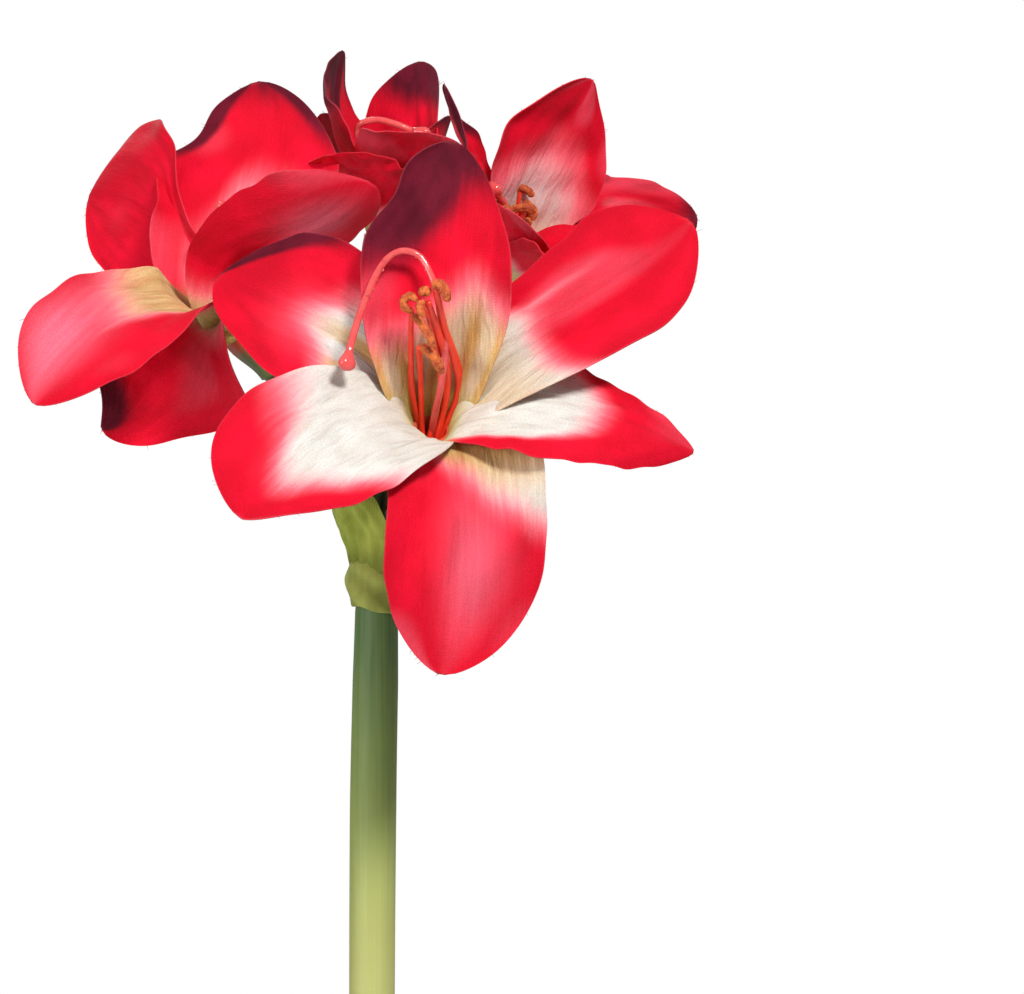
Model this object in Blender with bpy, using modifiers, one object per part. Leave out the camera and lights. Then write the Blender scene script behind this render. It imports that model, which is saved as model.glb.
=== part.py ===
"""Amaryllis in a pot: a bulb half sunk in potting soil, one scape, and four blooms on pedicels.

The origin is the centre of the pot's base, +Z is up and -Y is the front. Sizes are in metres.
"""

from math import cos, pi, radians, sin

import bmesh
import bpy
import numpy as np
from mathutils import Matrix, Vector

# Pot and soil
POT_HEIGHT = 0.125
POT_TOP_RADIUS = 0.075
POT_BASE_RADIUS = 0.050
POT_WALL = 0.006
POT_FLOOR = 0.007
RIM_HEIGHT = 0.026
RIM_STEP = 0.0035
DRAIN_HOLES = 3
DRAIN_RADIUS = 0.004
DRAIN_FROM_CENTRE = 0.024
SOIL_LEVEL = 0.108
TURNED_STEPS = 32

# Bulb
BULB_RADIUS = 0.040
BULB_BASE = 0.060
BULB_WAIST = 0.097
NECK_RADIUS = 0.0135
NECK_BASE = 0.142
NECK_TOP = 0.158
SCAPE_SOCKET = 0.134

# Scape, with the four pedicels that grow from its top
SCAPE_RADIUS = 0.0082
SCAPE_TOP = 0.414
SCAPE_CENTRES = (
    (0.0, 0.0, SCAPE_SOCKET),
    (0.0, 0.0, 0.180),
    (0.0, 0.0, 0.260),
    (0.0004, 0.0, 0.330),
    (0.0012, 0.0, 0.375),
    (0.0016, 0.0, 0.400),
    (0.0016, 0.0, SCAPE_TOP),
)
SCAPE_THICKNESS = (1.0, 1.0, 1.0, 1.02, 1.0, 0.94, 0.80)
PEDICEL_RADIUS = 0.0036
PEDICEL_ASIDE = 0.0024
PEDICEL_SUNK = 0.010
PEDICEL_SPREAD = 0.001
PEDICEL_ARRIVES = 0.022
PEDICEL_STRAIGHT_END = 0.003

# Spathe
COLLAR_BASE = 0.3985
COLLAR_TOP = 0.4185
COLLAR_RADIUS = 0.0104
COLLAR_CENTRE = 0.0016
COLLAR_STEPS = 24
BRACT_THICKNESS = 0.0008
BRACT_ROOT = 0.0097
BRACT_SUNK = 0.002
BRACTS = (
    dict(turn=-130, length=0.066, width=0.025, flare=(9, 27, 22), cup=(46, 44, 15), root=0.62,
         widest=0.42, point=0.95, wave=0.0015),
    dict(turn=90, length=0.068, width=0.019, flare=(16, 28, 20), cup=(46, 44, 15), root=0.62,
         widest=0.42, point=0.95, wave=0.0015),
)

# Blooms, each in its own frame: X to the bloom's side, Y up the bloom, Z along its axis
TEPAL_THICKNESS = 0.0008
TEPAL_ROWS = 9
TEPAL_COLUMNS = 4
INNER_ROOT = 0.0056
OUTER_ROOT = 0.0068
ROOT_SUNK = 0.003
TUBE_RADIUS = 0.0078
TUBE_BORE = 0.0050
TUBE_DEPTH = 0.008
TUBE_LENGTH = 0.022
TUBE_BASE_RADIUS = 0.0052
FILAMENT_RADIUS = 0.0012
ANTHER_RADIUS = 0.0019
ANTHER_DROOP = 0.012
STYLE_RADIUS = 0.0013
STIGMA_RADIUS = 0.0032
STAMENS = 6
STAMEN_FIRST = 55
STAMEN_CIRCLE = 0.0029
STIGMA_SIDES = 8
FLORAL_TUBE_STEPS = 18

# Shared
GAP = 0.0003
WELD = 1e-6
SMOOTH_BELOW = 40

BLOOMS = {
    "front": dict(
        throat=(0.0226, -0.0620, 0.4654),
        azimuth=6,
        elevation=38,
        rise=0.042,
        stamen_length=0.050,
        stamen_reach=(-0.003, 0.012, 0.007),
        anther_length=0.011,
        style=((0, 0, 0), (0, 5, 14), (1, 13, 28), (0, 21, 41), (-5, 26, 51), (-12, 27, 58),
               (-20, 20, 62), (-27, 7, 61), (-33, -6, 58)),
        tepals=(
            dict(turn=0, length=0.100, width=0.058, flare=(8, 44, 62), sweep=9, roll=11,
                 cup=(75, 36, 30), notch=0.22),
            dict(turn=97, length=0.100, width=0.054, flare=(12, 96, 115), sweep=6, roll=13,
                 cup=(60, 10, 0), far_curl=-55, point=0.95, widest=0.46),
            dict(turn=243, length=0.099, width=0.063, flare=(15, 87, 69), sweep=-35,
                 cup=(60, 5, 10)),
            dict(turn=59, outer=True, length=0.120, width=0.058, flare=(16, 89, 62),
                 sweep=-11, roll=-7, cup=(60, 10, 0), fold=20),
            dict(turn=172, outer=True, length=0.100, width=0.062, flare=(22, 128, 128),
                 sweep=16, roll=6, cup=(60, 10, 10)),
            dict(turn=303, outer=True, length=0.104, width=0.058, flare=(16, 98, 112),
                 sweep=20, roll=24, cup=(60, 15, 10)),
        ),
    ),
    "left": dict(
        throat=(-0.0485, 0.0050, 0.5035),
        azimuth=-62,
        elevation=52,
        rise=0.037,
        stamen_length=0.042,
        stamen_reach=(0.003, 0.001, 0.002),
        anther_length=0.009,
        style=((0, 0, 0), (0.6, 0.2, 12), (1.3, 0.4, 24), (2.4, 0.8, 36), (3.7, 1.2, 47)),
        tepals=(
            dict(turn=334, length=0.097, width=0.071, flare=(11, 68, 23), sweep=7, roll=-22,
                 cup=(75, 25, 10), notch=0.20, notch_at=0.65),
            dict(turn=184, length=0.072, width=0.050, flare=(18, 112, 70), sweep=2, twist=125),
            dict(turn=72, length=0.082, width=0.058, flare=(6, 90, 60), sweep=-40, roll=50,
                 cup=(70, 45, 30)),
            dict(turn=291, outer=True, length=0.095, width=0.058, flare=(10, 57, 82),
                 sweep=-27, roll=38),
            dict(turn=151, outer=True, length=0.100, width=0.048, flare=(13, 77, 98),
                 sweep=27, roll=43),
            dict(turn=37, outer=True, length=0.073, width=0.050, flare=(12, 69, 44), sweep=9),
        ),
    ),
    "right": dict(
        throat=(0.0460, 0.0250, 0.5224),
        azimuth=50,
        elevation=50,
        rise=0.060,
        stamen_length=0.040,
        stamen_reach=(-0.009, -0.004, 0.004),
        anther_length=0.009,
        style=((0, 0, 0), (-2, -1, 12), (-4, -2, 24), (-8, -3, 36), (-12, -5, 47)),
        tepals=(
            dict(turn=12, length=0.078, width=0.055, flare=(10, 10, 16), sweep=12),
            dict(turn=132, length=0.062, width=0.050, flare=(9, 52, 54), sweep=-5),
            dict(turn=252, length=0.068, width=0.046, flare=(9, 50, 40), sweep=4),
            dict(turn=86, outer=True, length=0.103, width=0.043, flare=(12, 85, 80), sweep=4,
                 roll=-34),
            dict(turn=192, outer=True, length=0.072, width=0.050, flare=(12, 66, 46), sweep=8),
            dict(turn=306, outer=True, length=0.086, width=0.038, flare=(11, 44, 36)),
        ),
    ),
    "back": dict(
        throat=(0.0035, 0.0450, 0.5370),
        azimuth=150,
        elevation=68,
        rise=0.050,
        stamen_length=0.005,
        stamen_reach=(0, 0, 0.0005),
        anther_length=0.004,
        style=((0, 0, 0), (0, 0, 12), (0, 0, 24), (0, 0, 34)),
        tepals=(
            dict(turn=76, length=0.080, width=0.042, flare=(7, 26, 10), sweep=4),
            dict(turn=186, length=0.077, width=0.048, flare=(6, 2, 18), sweep=-24),
            dict(turn=315, length=0.052, width=0.046, flare=(6, 66, 78)),
            dict(turn=4, outer=True, length=0.042, width=0.044, flare=(11, 80, 84)),
            dict(turn=118, outer=True, length=0.080, width=0.042, flare=(12, 44, 36), sweep=-4),
            dict(turn=257, outer=True, length=0.062, width=0.040, flare=(11, 5, 24), sweep=4),
        ),
    ),
}


def clear_scene():
    for obj in list(bpy.data.objects):
        bpy.data.objects.remove(obj, do_unlink=True)


def new_collection(name):
    collection = bpy.data.collections.new(name)
    bpy.context.scene.collection.children.link(collection)
    return collection


def material(name, colour, roughness):
    made = bpy.data.materials.new(name)
    made.use_nodes = True
    shader = made.node_tree.nodes["Principled BSDF"]
    shader.inputs["Base Color"].default_value = (*colour, 1.0)
    shader.inputs["Roughness"].default_value = roughness
    shader.inputs["Metallic"].default_value = 0.0
    return made


def add_object(name, data, collection):
    obj = bpy.data.objects.new(name, data)
    collection.objects.link(obj)
    return obj


def applied(obj, name, collection):
    """The object as its modifiers leave it, as a plain mesh object in the same place."""
    bpy.context.view_layer.update()
    graph = bpy.context.evaluated_depsgraph_get()
    mesh = bpy.data.meshes.new_from_object(obj.evaluated_get(graph))
    shape = bmesh.new()
    shape.from_mesh(mesh)
    bmesh.ops.remove_doubles(shape, verts=shape.verts, dist=WELD)
    shape.to_mesh(mesh)
    shape.free()
    mesh.shade_smooth()
    mesh.set_sharp_from_angle(angle=radians(SMOOTH_BELOW))
    made = add_object(name, mesh, collection)
    made.matrix_world = obj.matrix_world
    bpy.data.objects.remove(obj, do_unlink=True)
    return made


def union(base, others, name, collection):
    """The base and all the others as one closed body."""
    operands = new_collection(name + "_operands")
    for other in others:
        for holder in list(other.users_collection):
            holder.objects.unlink(other)
        operands.objects.link(other)
    join = base.modifiers.new("join", "BOOLEAN")
    join.operation = "UNION"
    join.operand_type = "COLLECTION"
    join.collection = operands
    join.solver = "EXACT"
    made = applied(base, name, collection)
    for other in list(operands.objects):
        bpy.data.objects.remove(other, do_unlink=True)
    bpy.data.collections.remove(operands)
    keep_largest_piece(made.data)
    return made


def keep_largest_piece(mesh):
    """Fills the small hollows that joined sheets seal between them, and drops loose scraps."""
    shape = bmesh.new()
    shape.from_mesh(mesh)
    left = set(shape.verts)
    pieces = []
    while left:
        piece = {left.pop()}
        edge = set(piece)
        while edge:
            edge = {e.other_vert(v) for v in edge for e in v.link_edges} - piece
            piece |= edge
        left -= piece
        pieces.append(piece)
    largest = max(pieces, key=len)
    bmesh.ops.delete(shape, geom=[v for v in shape.verts if v not in largest], context="VERTS")
    shape.to_mesh(mesh)
    shape.free()


def turned(name, profile, collection, steps=TURNED_STEPS):
    """A profile of (radius, height) turned about Z, its outer side running top to bottom."""
    mesh = bpy.data.meshes.new(name)
    points = [(radius, 0.0, height) for radius, height in profile]
    mesh.from_pydata(points, [(i, i + 1) for i in range(len(points) - 1)], [])
    obj = add_object(name, mesh, collection)
    screw = obj.modifiers.new("turn", "SCREW")
    screw.steps = steps
    screw.render_steps = steps
    screw.use_merge_vertices = True
    screw.merge_threshold = 0.00001
    return obj


def tube(name, points, radii, collection, resolution=1):
    """A round tube through the points, with its own radius at each of them."""
    curve = bpy.data.curves.new(name, "CURVE")
    curve.dimensions = "3D"
    curve.bevel_depth = 1.0
    curve.bevel_resolution = resolution
    curve.use_fill_caps = True
    spline = curve.splines.new("POLY")
    spline.points.add(len(points) - 1)
    for target, point, radius in zip(spline.points, points, radii):
        target.co = (*point, 1.0)
        target.radius = radius
    return applied(add_object(name, curve, collection), name, collection)


def bezier(start, leave, arrive, end, count):
    """Points along a cubic curve."""
    ends = [Vector(point) for point in (start, leave, arrive, end)]
    points = []
    for i in range(count):
        t = i / (count - 1)
        weights = ((1 - t) ** 3, 3 * t * (1 - t) ** 2, 3 * t * t * (1 - t), t**3)
        points.append(sum((w * p for w, p in zip(weights, ends)), Vector()))
    return points


def through(values, u):
    """A parabola through three values at u = 0, 0.5 and 1."""
    first, middle, last = values
    return first * (1 - u) * (1 - 2 * u) + middle * 4 * u * (1 - u) + last * u * (2 * u - 1)


def blade_width(u, root, widest, point):
    """The blade's width at u, as a share of its greatest width: from root, to 1, to a small tip."""
    if u < widest:
        return 1 - (1 - root) * ((widest - u) / widest) ** 1.8
    return 0.04 + 0.96 * (1 - ((u - widest) / (1 - widest)) ** 2) ** point


def blade_spine(spec, start, outward, round_axis, axis):
    """Points along the blade's middle line, with its direction at each, in TEPAL_ROWS steps."""
    fine = 8
    step = spec["length"] / (TEPAL_ROWS * fine)
    place = np.array(start, float)
    places, directions = [], []
    for i in range(TEPAL_ROWS * fine + 1):
        u = i / (TEPAL_ROWS * fine)
        flare = radians(through(spec["flare"], u))
        sweep = radians(spec.get("sweep", 0)) * u**1.5
        direction = cos(sweep) * (cos(flare) * axis + sin(flare) * outward) + sin(sweep) * round_axis
        if i % fine == 0:
            places.append(place.copy())
            directions.append(direction)
        place = place + direction * step
    return places, directions


def blade_points(spec, root_radius):
    """Rows of points on the blade's curved sheet, from its root to its tip."""
    turn = radians(spec["turn"])
    axis = np.array((0.0, 0.0, 1.0))
    outward = np.array((sin(turn), cos(turn), 0.0))
    round_axis = np.array((cos(turn), -sin(turn), 0.0))
    places, directions = blade_spine(spec, outward * root_radius, outward, round_axis, axis)
    rows = []
    for i, (place, direction) in enumerate(zip(places, directions)):
        u = i / TEPAL_ROWS
        across = round_axis - (direction @ round_axis) * direction
        across /= np.linalg.norm(across)
        face = np.cross(across, direction)
        roll = radians(spec.get("roll", 0) + spec.get("twist", 0) * u) * min(1.0, 4 * u)
        across, face = cos(roll) * across + sin(roll) * face, cos(roll) * face - sin(roll) * across
        place = place - axis * ROOT_SUNK * max(0.0, 1 - u * TEPAL_ROWS)
        rows.append([blade_point(spec, u, v, place, across, face) for v in columns()])
    return rows


def columns():
    return [2 * j / TEPAL_COLUMNS - 1 for j in range(TEPAL_COLUMNS + 1)]


def blade_point(spec, u, v, place, across, face):
    share = blade_width(u, spec.get("root", 0.24), spec.get("widest", 0.56), spec.get("point", 0.72))
    half = spec["width"] / 2 * share
    if v < 0:
        half *= 1 - spec.get("notch", 0) * np.exp(-(((u - spec.get("notch_at", 0.8)) / 0.09) ** 2))
    curl = spec.get("far_curl", 0) if v > 0 else 0
    bend = radians(through(spec.get("cup", (75, 30, 10)), u) + curl * min(1.0, 2 * u))
    if abs(bend) < 1e-4:
        bend = 1e-4
    sideways = half * sin(bend * v) / bend
    lift = half * (1 - cos(bend * v)) / bend
    fold = radians(spec.get("fold", 0)) * sin(pi * u) ** 0.6
    lift += ((sideways**2 + 0.002**2) ** 0.5 - 0.002) * sin(fold)
    phase = 0.0 if v < 0 else 0.5
    lift += spec.get("wave", 0.003) * abs(v) ** 2.2 * sin(pi * u) ** 0.5 * sin(2 * pi * (1.3 * u + phase))
    return place + across * sideways + face * lift


def blade(name, rows, thickness, collection):
    """A solid of even thickness on a grid of points, split into triangles alike on both faces."""
    shape = bmesh.new()
    bmesh.ops.create_grid(shape, x_segments=len(rows[0]) - 1, y_segments=len(rows) - 1, size=0.5)
    shape.verts.ensure_lookup_table()
    for vert in shape.verts:
        column = round((vert.co.x + 0.5) * (len(rows[0]) - 1))
        row = round((vert.co.y + 0.5) * (len(rows) - 1))
        vert.co = Vector(rows[row][column])
    bmesh.ops.triangulate(shape, faces=shape.faces)
    mesh = bpy.data.meshes.new(name)
    shape.to_mesh(mesh)
    shape.free()
    obj = add_object(name, mesh, collection)
    solid = obj.modifiers.new("thickness", "SOLIDIFY")
    solid.thickness = thickness
    solid.offset = 0.0
    return applied(obj, name, collection)


def pot_profile():
    """The pot's section: up the inside, over the rim, down the outside and across the base."""
    slope = (POT_TOP_RADIUS - RIM_STEP - POT_BASE_RADIUS) / POT_HEIGHT
    below_rim = POT_HEIGHT - RIM_HEIGHT
    step_radius = POT_BASE_RADIUS + slope * below_rim
    inner_top = soil_wall_radius(POT_HEIGHT)
    return [
        (0.0, POT_FLOOR),
        (soil_wall_radius(POT_FLOOR), POT_FLOOR),
        (inner_top, POT_HEIGHT - 0.001),
        (inner_top + 0.001, POT_HEIGHT),
        (POT_TOP_RADIUS - 0.0015, POT_HEIGHT),
        (POT_TOP_RADIUS, POT_HEIGHT - 0.0015),
        (step_radius + RIM_STEP, below_rim + 0.001),
        (step_radius + RIM_STEP - 0.001, below_rim),
        (step_radius, below_rim - 0.001),
        (POT_BASE_RADIUS + slope * 0.002, 0.002),
        (POT_BASE_RADIUS - 0.002, 0.0),
        (0.0, 0.0),
    ]


def soil_wall_radius(height):
    """The inner radius of the pot's wall at a height."""
    slope = (POT_TOP_RADIUS - RIM_STEP - POT_BASE_RADIUS) / POT_HEIGHT
    return POT_BASE_RADIUS + slope * height - POT_WALL


def make_pot(parts, cutters):
    pot = applied(turned("pot_body", pot_profile(), parts), "pot", parts)
    for i in range(DRAIN_HOLES):
        angle = 2 * pi * i / DRAIN_HOLES + pi / 6
        bpy.ops.mesh.primitive_cylinder_add(vertices=16, radius=DRAIN_RADIUS, depth=4 * POT_FLOOR)
        cutter = bpy.context.object
        cutter.name = "drain_cutter_%d" % (i + 1)
        cutter.location = (DRAIN_FROM_CENTRE * cos(angle), DRAIN_FROM_CENTRE * sin(angle), 0.0)
        cutter.display_type = "WIRE"
        cutter.hide_render = True
        for holder in list(cutter.users_collection):
            holder.objects.unlink(cutter)
        cutters.objects.link(cutter)
        cut = pot.modifiers.new("drain", "BOOLEAN")
        cut.operation = "DIFFERENCE"
        cut.object = cutter
    pot.data.materials.append(material("terracotta", (0.60, 0.27, 0.15), 0.85))


def bulb_radius(height):
    """The bulb's outer radius at a height: round below its waist, drawn in to the neck above."""
    if height < BULB_WAIST:
        drop = (BULB_WAIST - height) / (BULB_WAIST - BULB_BASE + 0.002)
        return BULB_RADIUS * (1 - drop**2) ** 0.5
    rise = min(1.0, (height - BULB_WAIST) / (NECK_BASE - BULB_WAIST))
    return NECK_RADIUS + (BULB_RADIUS - NECK_RADIUS) * (0.5 + 0.5 * cos(pi * rise)) ** 0.8


def bulb_side(top, bottom, count):
    heights = [top + (bottom - top) * i / count for i in range(count + 1)]
    return [(bulb_radius(height), height) for height in heights]


def make_bulb(parts):
    """The bulb, with the socket in its neck that the scape grows from."""
    socket = SCAPE_RADIUS + GAP
    profile = [(0.0, SCAPE_SOCKET - GAP), (socket, SCAPE_SOCKET - GAP), (socket, NECK_TOP - 0.001)]
    profile += [(NECK_RADIUS - 0.002, NECK_TOP)]
    profile += bulb_side(NECK_TOP - 0.003, BULB_BASE, 11)
    profile += [(0.0, BULB_BASE)]
    bulb = turned("bulb", profile, parts)
    bulb.data.materials.append(material("bulb_skin", (0.38, 0.20, 0.09), 0.6))


def make_soil(parts):
    """The soil, with a seat that follows the bulb's lower half a gap away."""
    count = 7
    profile = [(0.0, BULB_BASE - GAP), (bulb_radius(BULB_BASE) + GAP, BULB_BASE - GAP)]
    for i in range(1, count + 1):
        height = BULB_BASE + (SOIL_LEVEL + 0.001 - BULB_BASE) * i / count
        profile.append((bulb_radius(height) + 2 * GAP, height))
    edge = soil_wall_radius(SOIL_LEVEL) - 2 * GAP
    middle = (profile[-1][0] + edge) / 2
    profile += [(middle, SOIL_LEVEL + 0.0015), (edge, SOIL_LEVEL)]
    profile += [(soil_wall_radius(POT_FLOOR) - 2 * GAP, POT_FLOOR + GAP), (0.0, POT_FLOOR + GAP)]
    soil = turned("potting_soil", profile, parts)
    soil.data.materials.append(material("soil", (0.06, 0.04, 0.03), 0.95))


def bloom_frame(bloom):
    tilt = Matrix.Rotation(radians(90 - bloom["elevation"]), 4, "X")
    turn = Matrix.Rotation(radians(bloom["azimuth"]), 4, "Z")
    return Matrix.Translation(bloom["throat"]) @ turn @ tilt


def make_scape(parts):
    """The stalk that carries the head, with a pedicel to each bloom."""
    radii = [SCAPE_RADIUS * share for share in SCAPE_THICKNESS]
    scape = tube("scape_core", SCAPE_CENTRES, radii, parts, resolution=4)
    top = Vector(SCAPE_CENTRES[-1])
    pedicels = []
    for name, bloom in BLOOMS.items():
        frame = bloom_frame(bloom)
        end = frame @ Vector((0, 0, -TUBE_LENGTH - GAP))
        axis = frame.to_3x3() @ Vector((0, 0, 1))
        aside = Vector((end.x - top.x, end.y - top.y, 0.0)).normalized()
        start = top + aside * PEDICEL_ASIDE - Vector((0, 0, PEDICEL_SUNK))
        leave = start + Vector((0, 0, bloom["rise"])) + aside * PEDICEL_SPREAD
        last = end - axis * PEDICEL_STRAIGHT_END
        points = bezier(start, leave, end - axis * PEDICEL_ARRIVES, last, 6) + [end]
        pedicels.append(tube("pedicel_" + name, points, [PEDICEL_RADIUS] * len(points), parts))
    whole = union(scape, pedicels, "scape", parts)
    whole.data.materials.append(material("scape_green", (0.12, 0.21, 0.07), 0.45))


def collar_profile():
    """The collar's section: up the inside, over the top edge and down the bulging outside."""
    foot = SCAPE_RADIUS + GAP
    return [
        (foot, COLLAR_BASE),
        (foot, COLLAR_TOP),
        (foot + 0.0008, COLLAR_TOP + 0.001),
        (COLLAR_RADIUS - 0.0006, COLLAR_TOP - 0.001),
        (COLLAR_RADIUS, COLLAR_TOP - 0.005),
        (COLLAR_RADIUS - 0.0002, COLLAR_TOP - 0.011),
        (foot + 0.0009, COLLAR_BASE),
        (foot, COLLAR_BASE),
    ]


def make_spathe(parts):
    """The papery collar round the top of the scape, and the two bracts that stand out of it."""
    collar = turned("collar", collar_profile(), parts, steps=COLLAR_STEPS)
    collar.location = (COLLAR_CENTRE, 0.0, 0.0)
    collar = applied(collar, "collar", parts)
    bracts = []
    for spec in BRACTS:
        rows = blade_points(spec, BRACT_ROOT)
        bract = blade("bract", rows, BRACT_THICKNESS, parts)
        bract.location = (COLLAR_CENTRE, 0.0, COLLAR_TOP - BRACT_SUNK)
        bracts.append(bract)
    spathe = union(collar, bracts, "spathe", parts)
    spathe.data.materials.append(material("spathe_green", (0.33, 0.40, 0.10), 0.7))


def tube_profile():
    """The floral tube's section: a cup at the throat, drawn in to the pedicel behind it."""
    return [
        (0.0, -TUBE_DEPTH),
        (TUBE_BORE, -TUBE_DEPTH),
        (TUBE_BORE, 0.0),
        (TUBE_RADIUS, 0.0),
        (TUBE_RADIUS - 0.0006, -TUBE_DEPTH),
        (TUBE_BASE_RADIUS, -TUBE_LENGTH * 0.75),
        (TUBE_BASE_RADIUS - 0.0012, -TUBE_LENGTH),
        (0.0, -TUBE_LENGTH),
    ]


def make_bloom(name, bloom, parts):
    """Six tepals in two layers of three, grown together with the floral tube."""
    floral_tube = applied(turned(name + "_tube", tube_profile(), parts, steps=FLORAL_TUBE_STEPS), "tube", parts)
    tepals = []
    for spec in bloom["tepals"]:
        rows = blade_points(spec, OUTER_ROOT if spec.get("outer") else INNER_ROOT)
        tepals.append(blade("tepal", rows, TEPAL_THICKNESS, parts))
    whole = union(floral_tube, tepals, "bloom_" + name, parts)
    whole.matrix_world = bloom_frame(bloom)
    whole.data.materials.append(material("tepal_red_" + name, (0.78, 0.02, 0.06), 0.55))
    return whole


def curve_through(points, count):
    """A smooth curve through the points, each segment in equal steps."""
    known = [Vector(point) for point in points]
    known = [2 * known[0] - known[1], *known, 2 * known[-1] - known[-2]]
    found = []
    for i in range(count):
        place = i / (count - 1) * (len(known) - 3)
        first = min(int(place), len(known) - 4)
        t = place - first
        a, b, c, d = known[first : first + 4]
        found.append(
            0.5 * (2 * b + (c - a) * t + (2 * a - 5 * b + 4 * c - d) * t**2 + (3 * b - a - 3 * c + d) * t**3)
        )
    return found


def stamen_angle(i):
    """Where filament i stands round the style: evenly, but for the gap above that the style leaves by."""
    return radians(STAMEN_FIRST + (360 - 2 * STAMEN_FIRST) * i / (STAMENS - 1))


def stamen_route(i, bloom, count):
    """The middle line of filament i: straight up out of the throat, then spreading and leaning."""
    angle = stamen_angle(i)
    root = Vector((sin(angle), cos(angle), 0.0)) * STAMEN_CIRCLE
    root.z = -TUBE_DEPTH + GAP + 0.001
    side, up, spread = bloom["stamen_reach"]
    reach = Vector((side + spread * sin(angle), up + spread * cos(angle), 0.0))
    length = (bloom["stamen_length"] + TUBE_DEPTH) * (1 - 0.08 * (i % 3))
    steps = [j / (count - 1) for j in range(count)]
    return [root + Vector((0, 0, length * t)) + reach * t**1.8 for t in steps]


def anther(i, tip, direction, length, parts):
    """A short curved anther hung by its middle across the filament's tip, along the bundle's side."""
    angle = stamen_angle(i)
    across = Vector((cos(angle), -sin(angle), 0.0))
    across = (across - across.dot(direction) * direction).normalized()
    points = []
    for share in (-0.5, -0.2, 0.2, 0.5):
        points.append(tip + across * length * share - direction * ANTHER_DROOP * share**2)
    radii = [ANTHER_RADIUS * share for share in (0.5, 1.0, 1.0, 0.5)]
    return tube("anther", points, radii, parts, resolution=0)


def make_stamens(name, bloom, whole, parts):
    """Six filaments with their anthers, joined by the ring at the foot of the throat."""
    inner = STYLE_RADIUS + GAP + 0.0002
    outer = TUBE_BORE - 0.0004
    low = -TUBE_DEPTH + GAP
    high = low + 0.002
    profile = [(inner, low), (inner, high), (outer, high), (outer, low), (inner, low)]
    ring = applied(turned(name + "_ring", profile, parts, steps=12), "ring", parts)
    pieces = []
    for i in range(STAMENS):
        points = stamen_route(i, bloom, 5)
        pieces.append(tube("filament", points, [FILAMENT_RADIUS] * 5, parts, resolution=0))
        direction = (points[-1] - points[-2]).normalized()
        tip = points[-1] + direction * 0.0008
        pieces.append(anther(i, tip, direction, bloom["anther_length"], parts))
    stamens = union(ring, pieces, "stamens_" + name, parts)
    stamens.parent = whole
    stamens.data.materials.append(material("filament_red_" + name, (0.70, 0.03, 0.03), 0.4))


def make_style(name, bloom, whole, parts):
    """The style, standing in the middle of the throat, with its knobbed stigma."""
    foot = Vector((0, 0, -TUBE_DEPTH + GAP))
    known = [foot] + [Vector(point) / 1000 for point in bloom["style"]]
    points = curve_through(known, 2 * len(known))
    style = tube("style_core", points, [STYLE_RADIUS] * len(points), parts, resolution=0)
    bpy.ops.mesh.primitive_uv_sphere_add(segments=STIGMA_SIDES, ring_count=5, radius=STIGMA_RADIUS)
    stigma = bpy.context.object
    stigma.location = points[-1]
    whole_style = union(style, [stigma], "style_" + name, parts)
    whole_style.parent = whole
    whole_style.data.materials.append(material("style_pink_" + name, (0.75, 0.10, 0.13), 0.2))


def main():
    clear_scene()
    parts = new_collection("amaryllis_in_a_pot")
    cutters = new_collection("cutters")
    make_pot(parts, cutters)
    make_soil(parts)
    make_bulb(parts)
    make_scape(parts)
    make_spathe(parts)
    for name, bloom in BLOOMS.items():
        whole = make_bloom(name, bloom, parts)
        make_stamens(name, bloom, whole, parts)
        make_style(name, bloom, whole, parts)


main()
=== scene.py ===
"""Looks of the amaryllis in a pot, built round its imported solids. Sizes are in metres.

Blooms are built in their own frame, X to the bloom's side, Y up the bloom and Z along its axis,
and then placed by bloom_frame. The camera looks along +Y at the front of the head.
"""

from math import cos, pi, radians, sin

import bmesh
import bpy
import numpy as np
from mathutils import Matrix, Vector


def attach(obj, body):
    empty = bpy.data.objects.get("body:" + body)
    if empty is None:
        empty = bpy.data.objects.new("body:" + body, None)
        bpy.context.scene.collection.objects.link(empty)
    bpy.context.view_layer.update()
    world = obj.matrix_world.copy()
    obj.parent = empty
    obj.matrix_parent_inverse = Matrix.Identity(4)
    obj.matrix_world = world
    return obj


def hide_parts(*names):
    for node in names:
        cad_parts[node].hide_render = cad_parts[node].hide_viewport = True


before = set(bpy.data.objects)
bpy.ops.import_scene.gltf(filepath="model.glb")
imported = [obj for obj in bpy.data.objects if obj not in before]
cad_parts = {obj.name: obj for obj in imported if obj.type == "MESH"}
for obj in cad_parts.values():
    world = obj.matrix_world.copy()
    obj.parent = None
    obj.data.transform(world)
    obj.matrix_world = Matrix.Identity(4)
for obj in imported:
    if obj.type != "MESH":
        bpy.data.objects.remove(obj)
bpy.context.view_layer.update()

# Camera and lights
CAMERA_AT = (0.0504, -1.8, 0.4414)
CAMERA_LENS = 175.8
SENSOR_WIDTH = 36.0
FARTHEST_SEEN = 50.0
HEAD = (0.02, 0.0, 0.48)
# Each is its name, place, size, watts and colour.
LIGHTS = (
    ("key", (0.75, -1.75, 1.80), 0.50, 63.0, (1.0, 0.99, 0.97)),
    ("fill", (-1.5, -1.5, 0.7), 1.2, 29.0, (1.0, 1.0, 1.0)),
    ("rim", (-0.6, 1.6, 1.4), 1.0, 12.0, (1.0, 1.0, 1.0)),
)
SKY_LIGHT = 0.28
FLOOR_RADIUS = 1.4
FLOOR_FADES = (1.0, 0.45)

# The small space between neighbours
GAP = 0.0003

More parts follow.
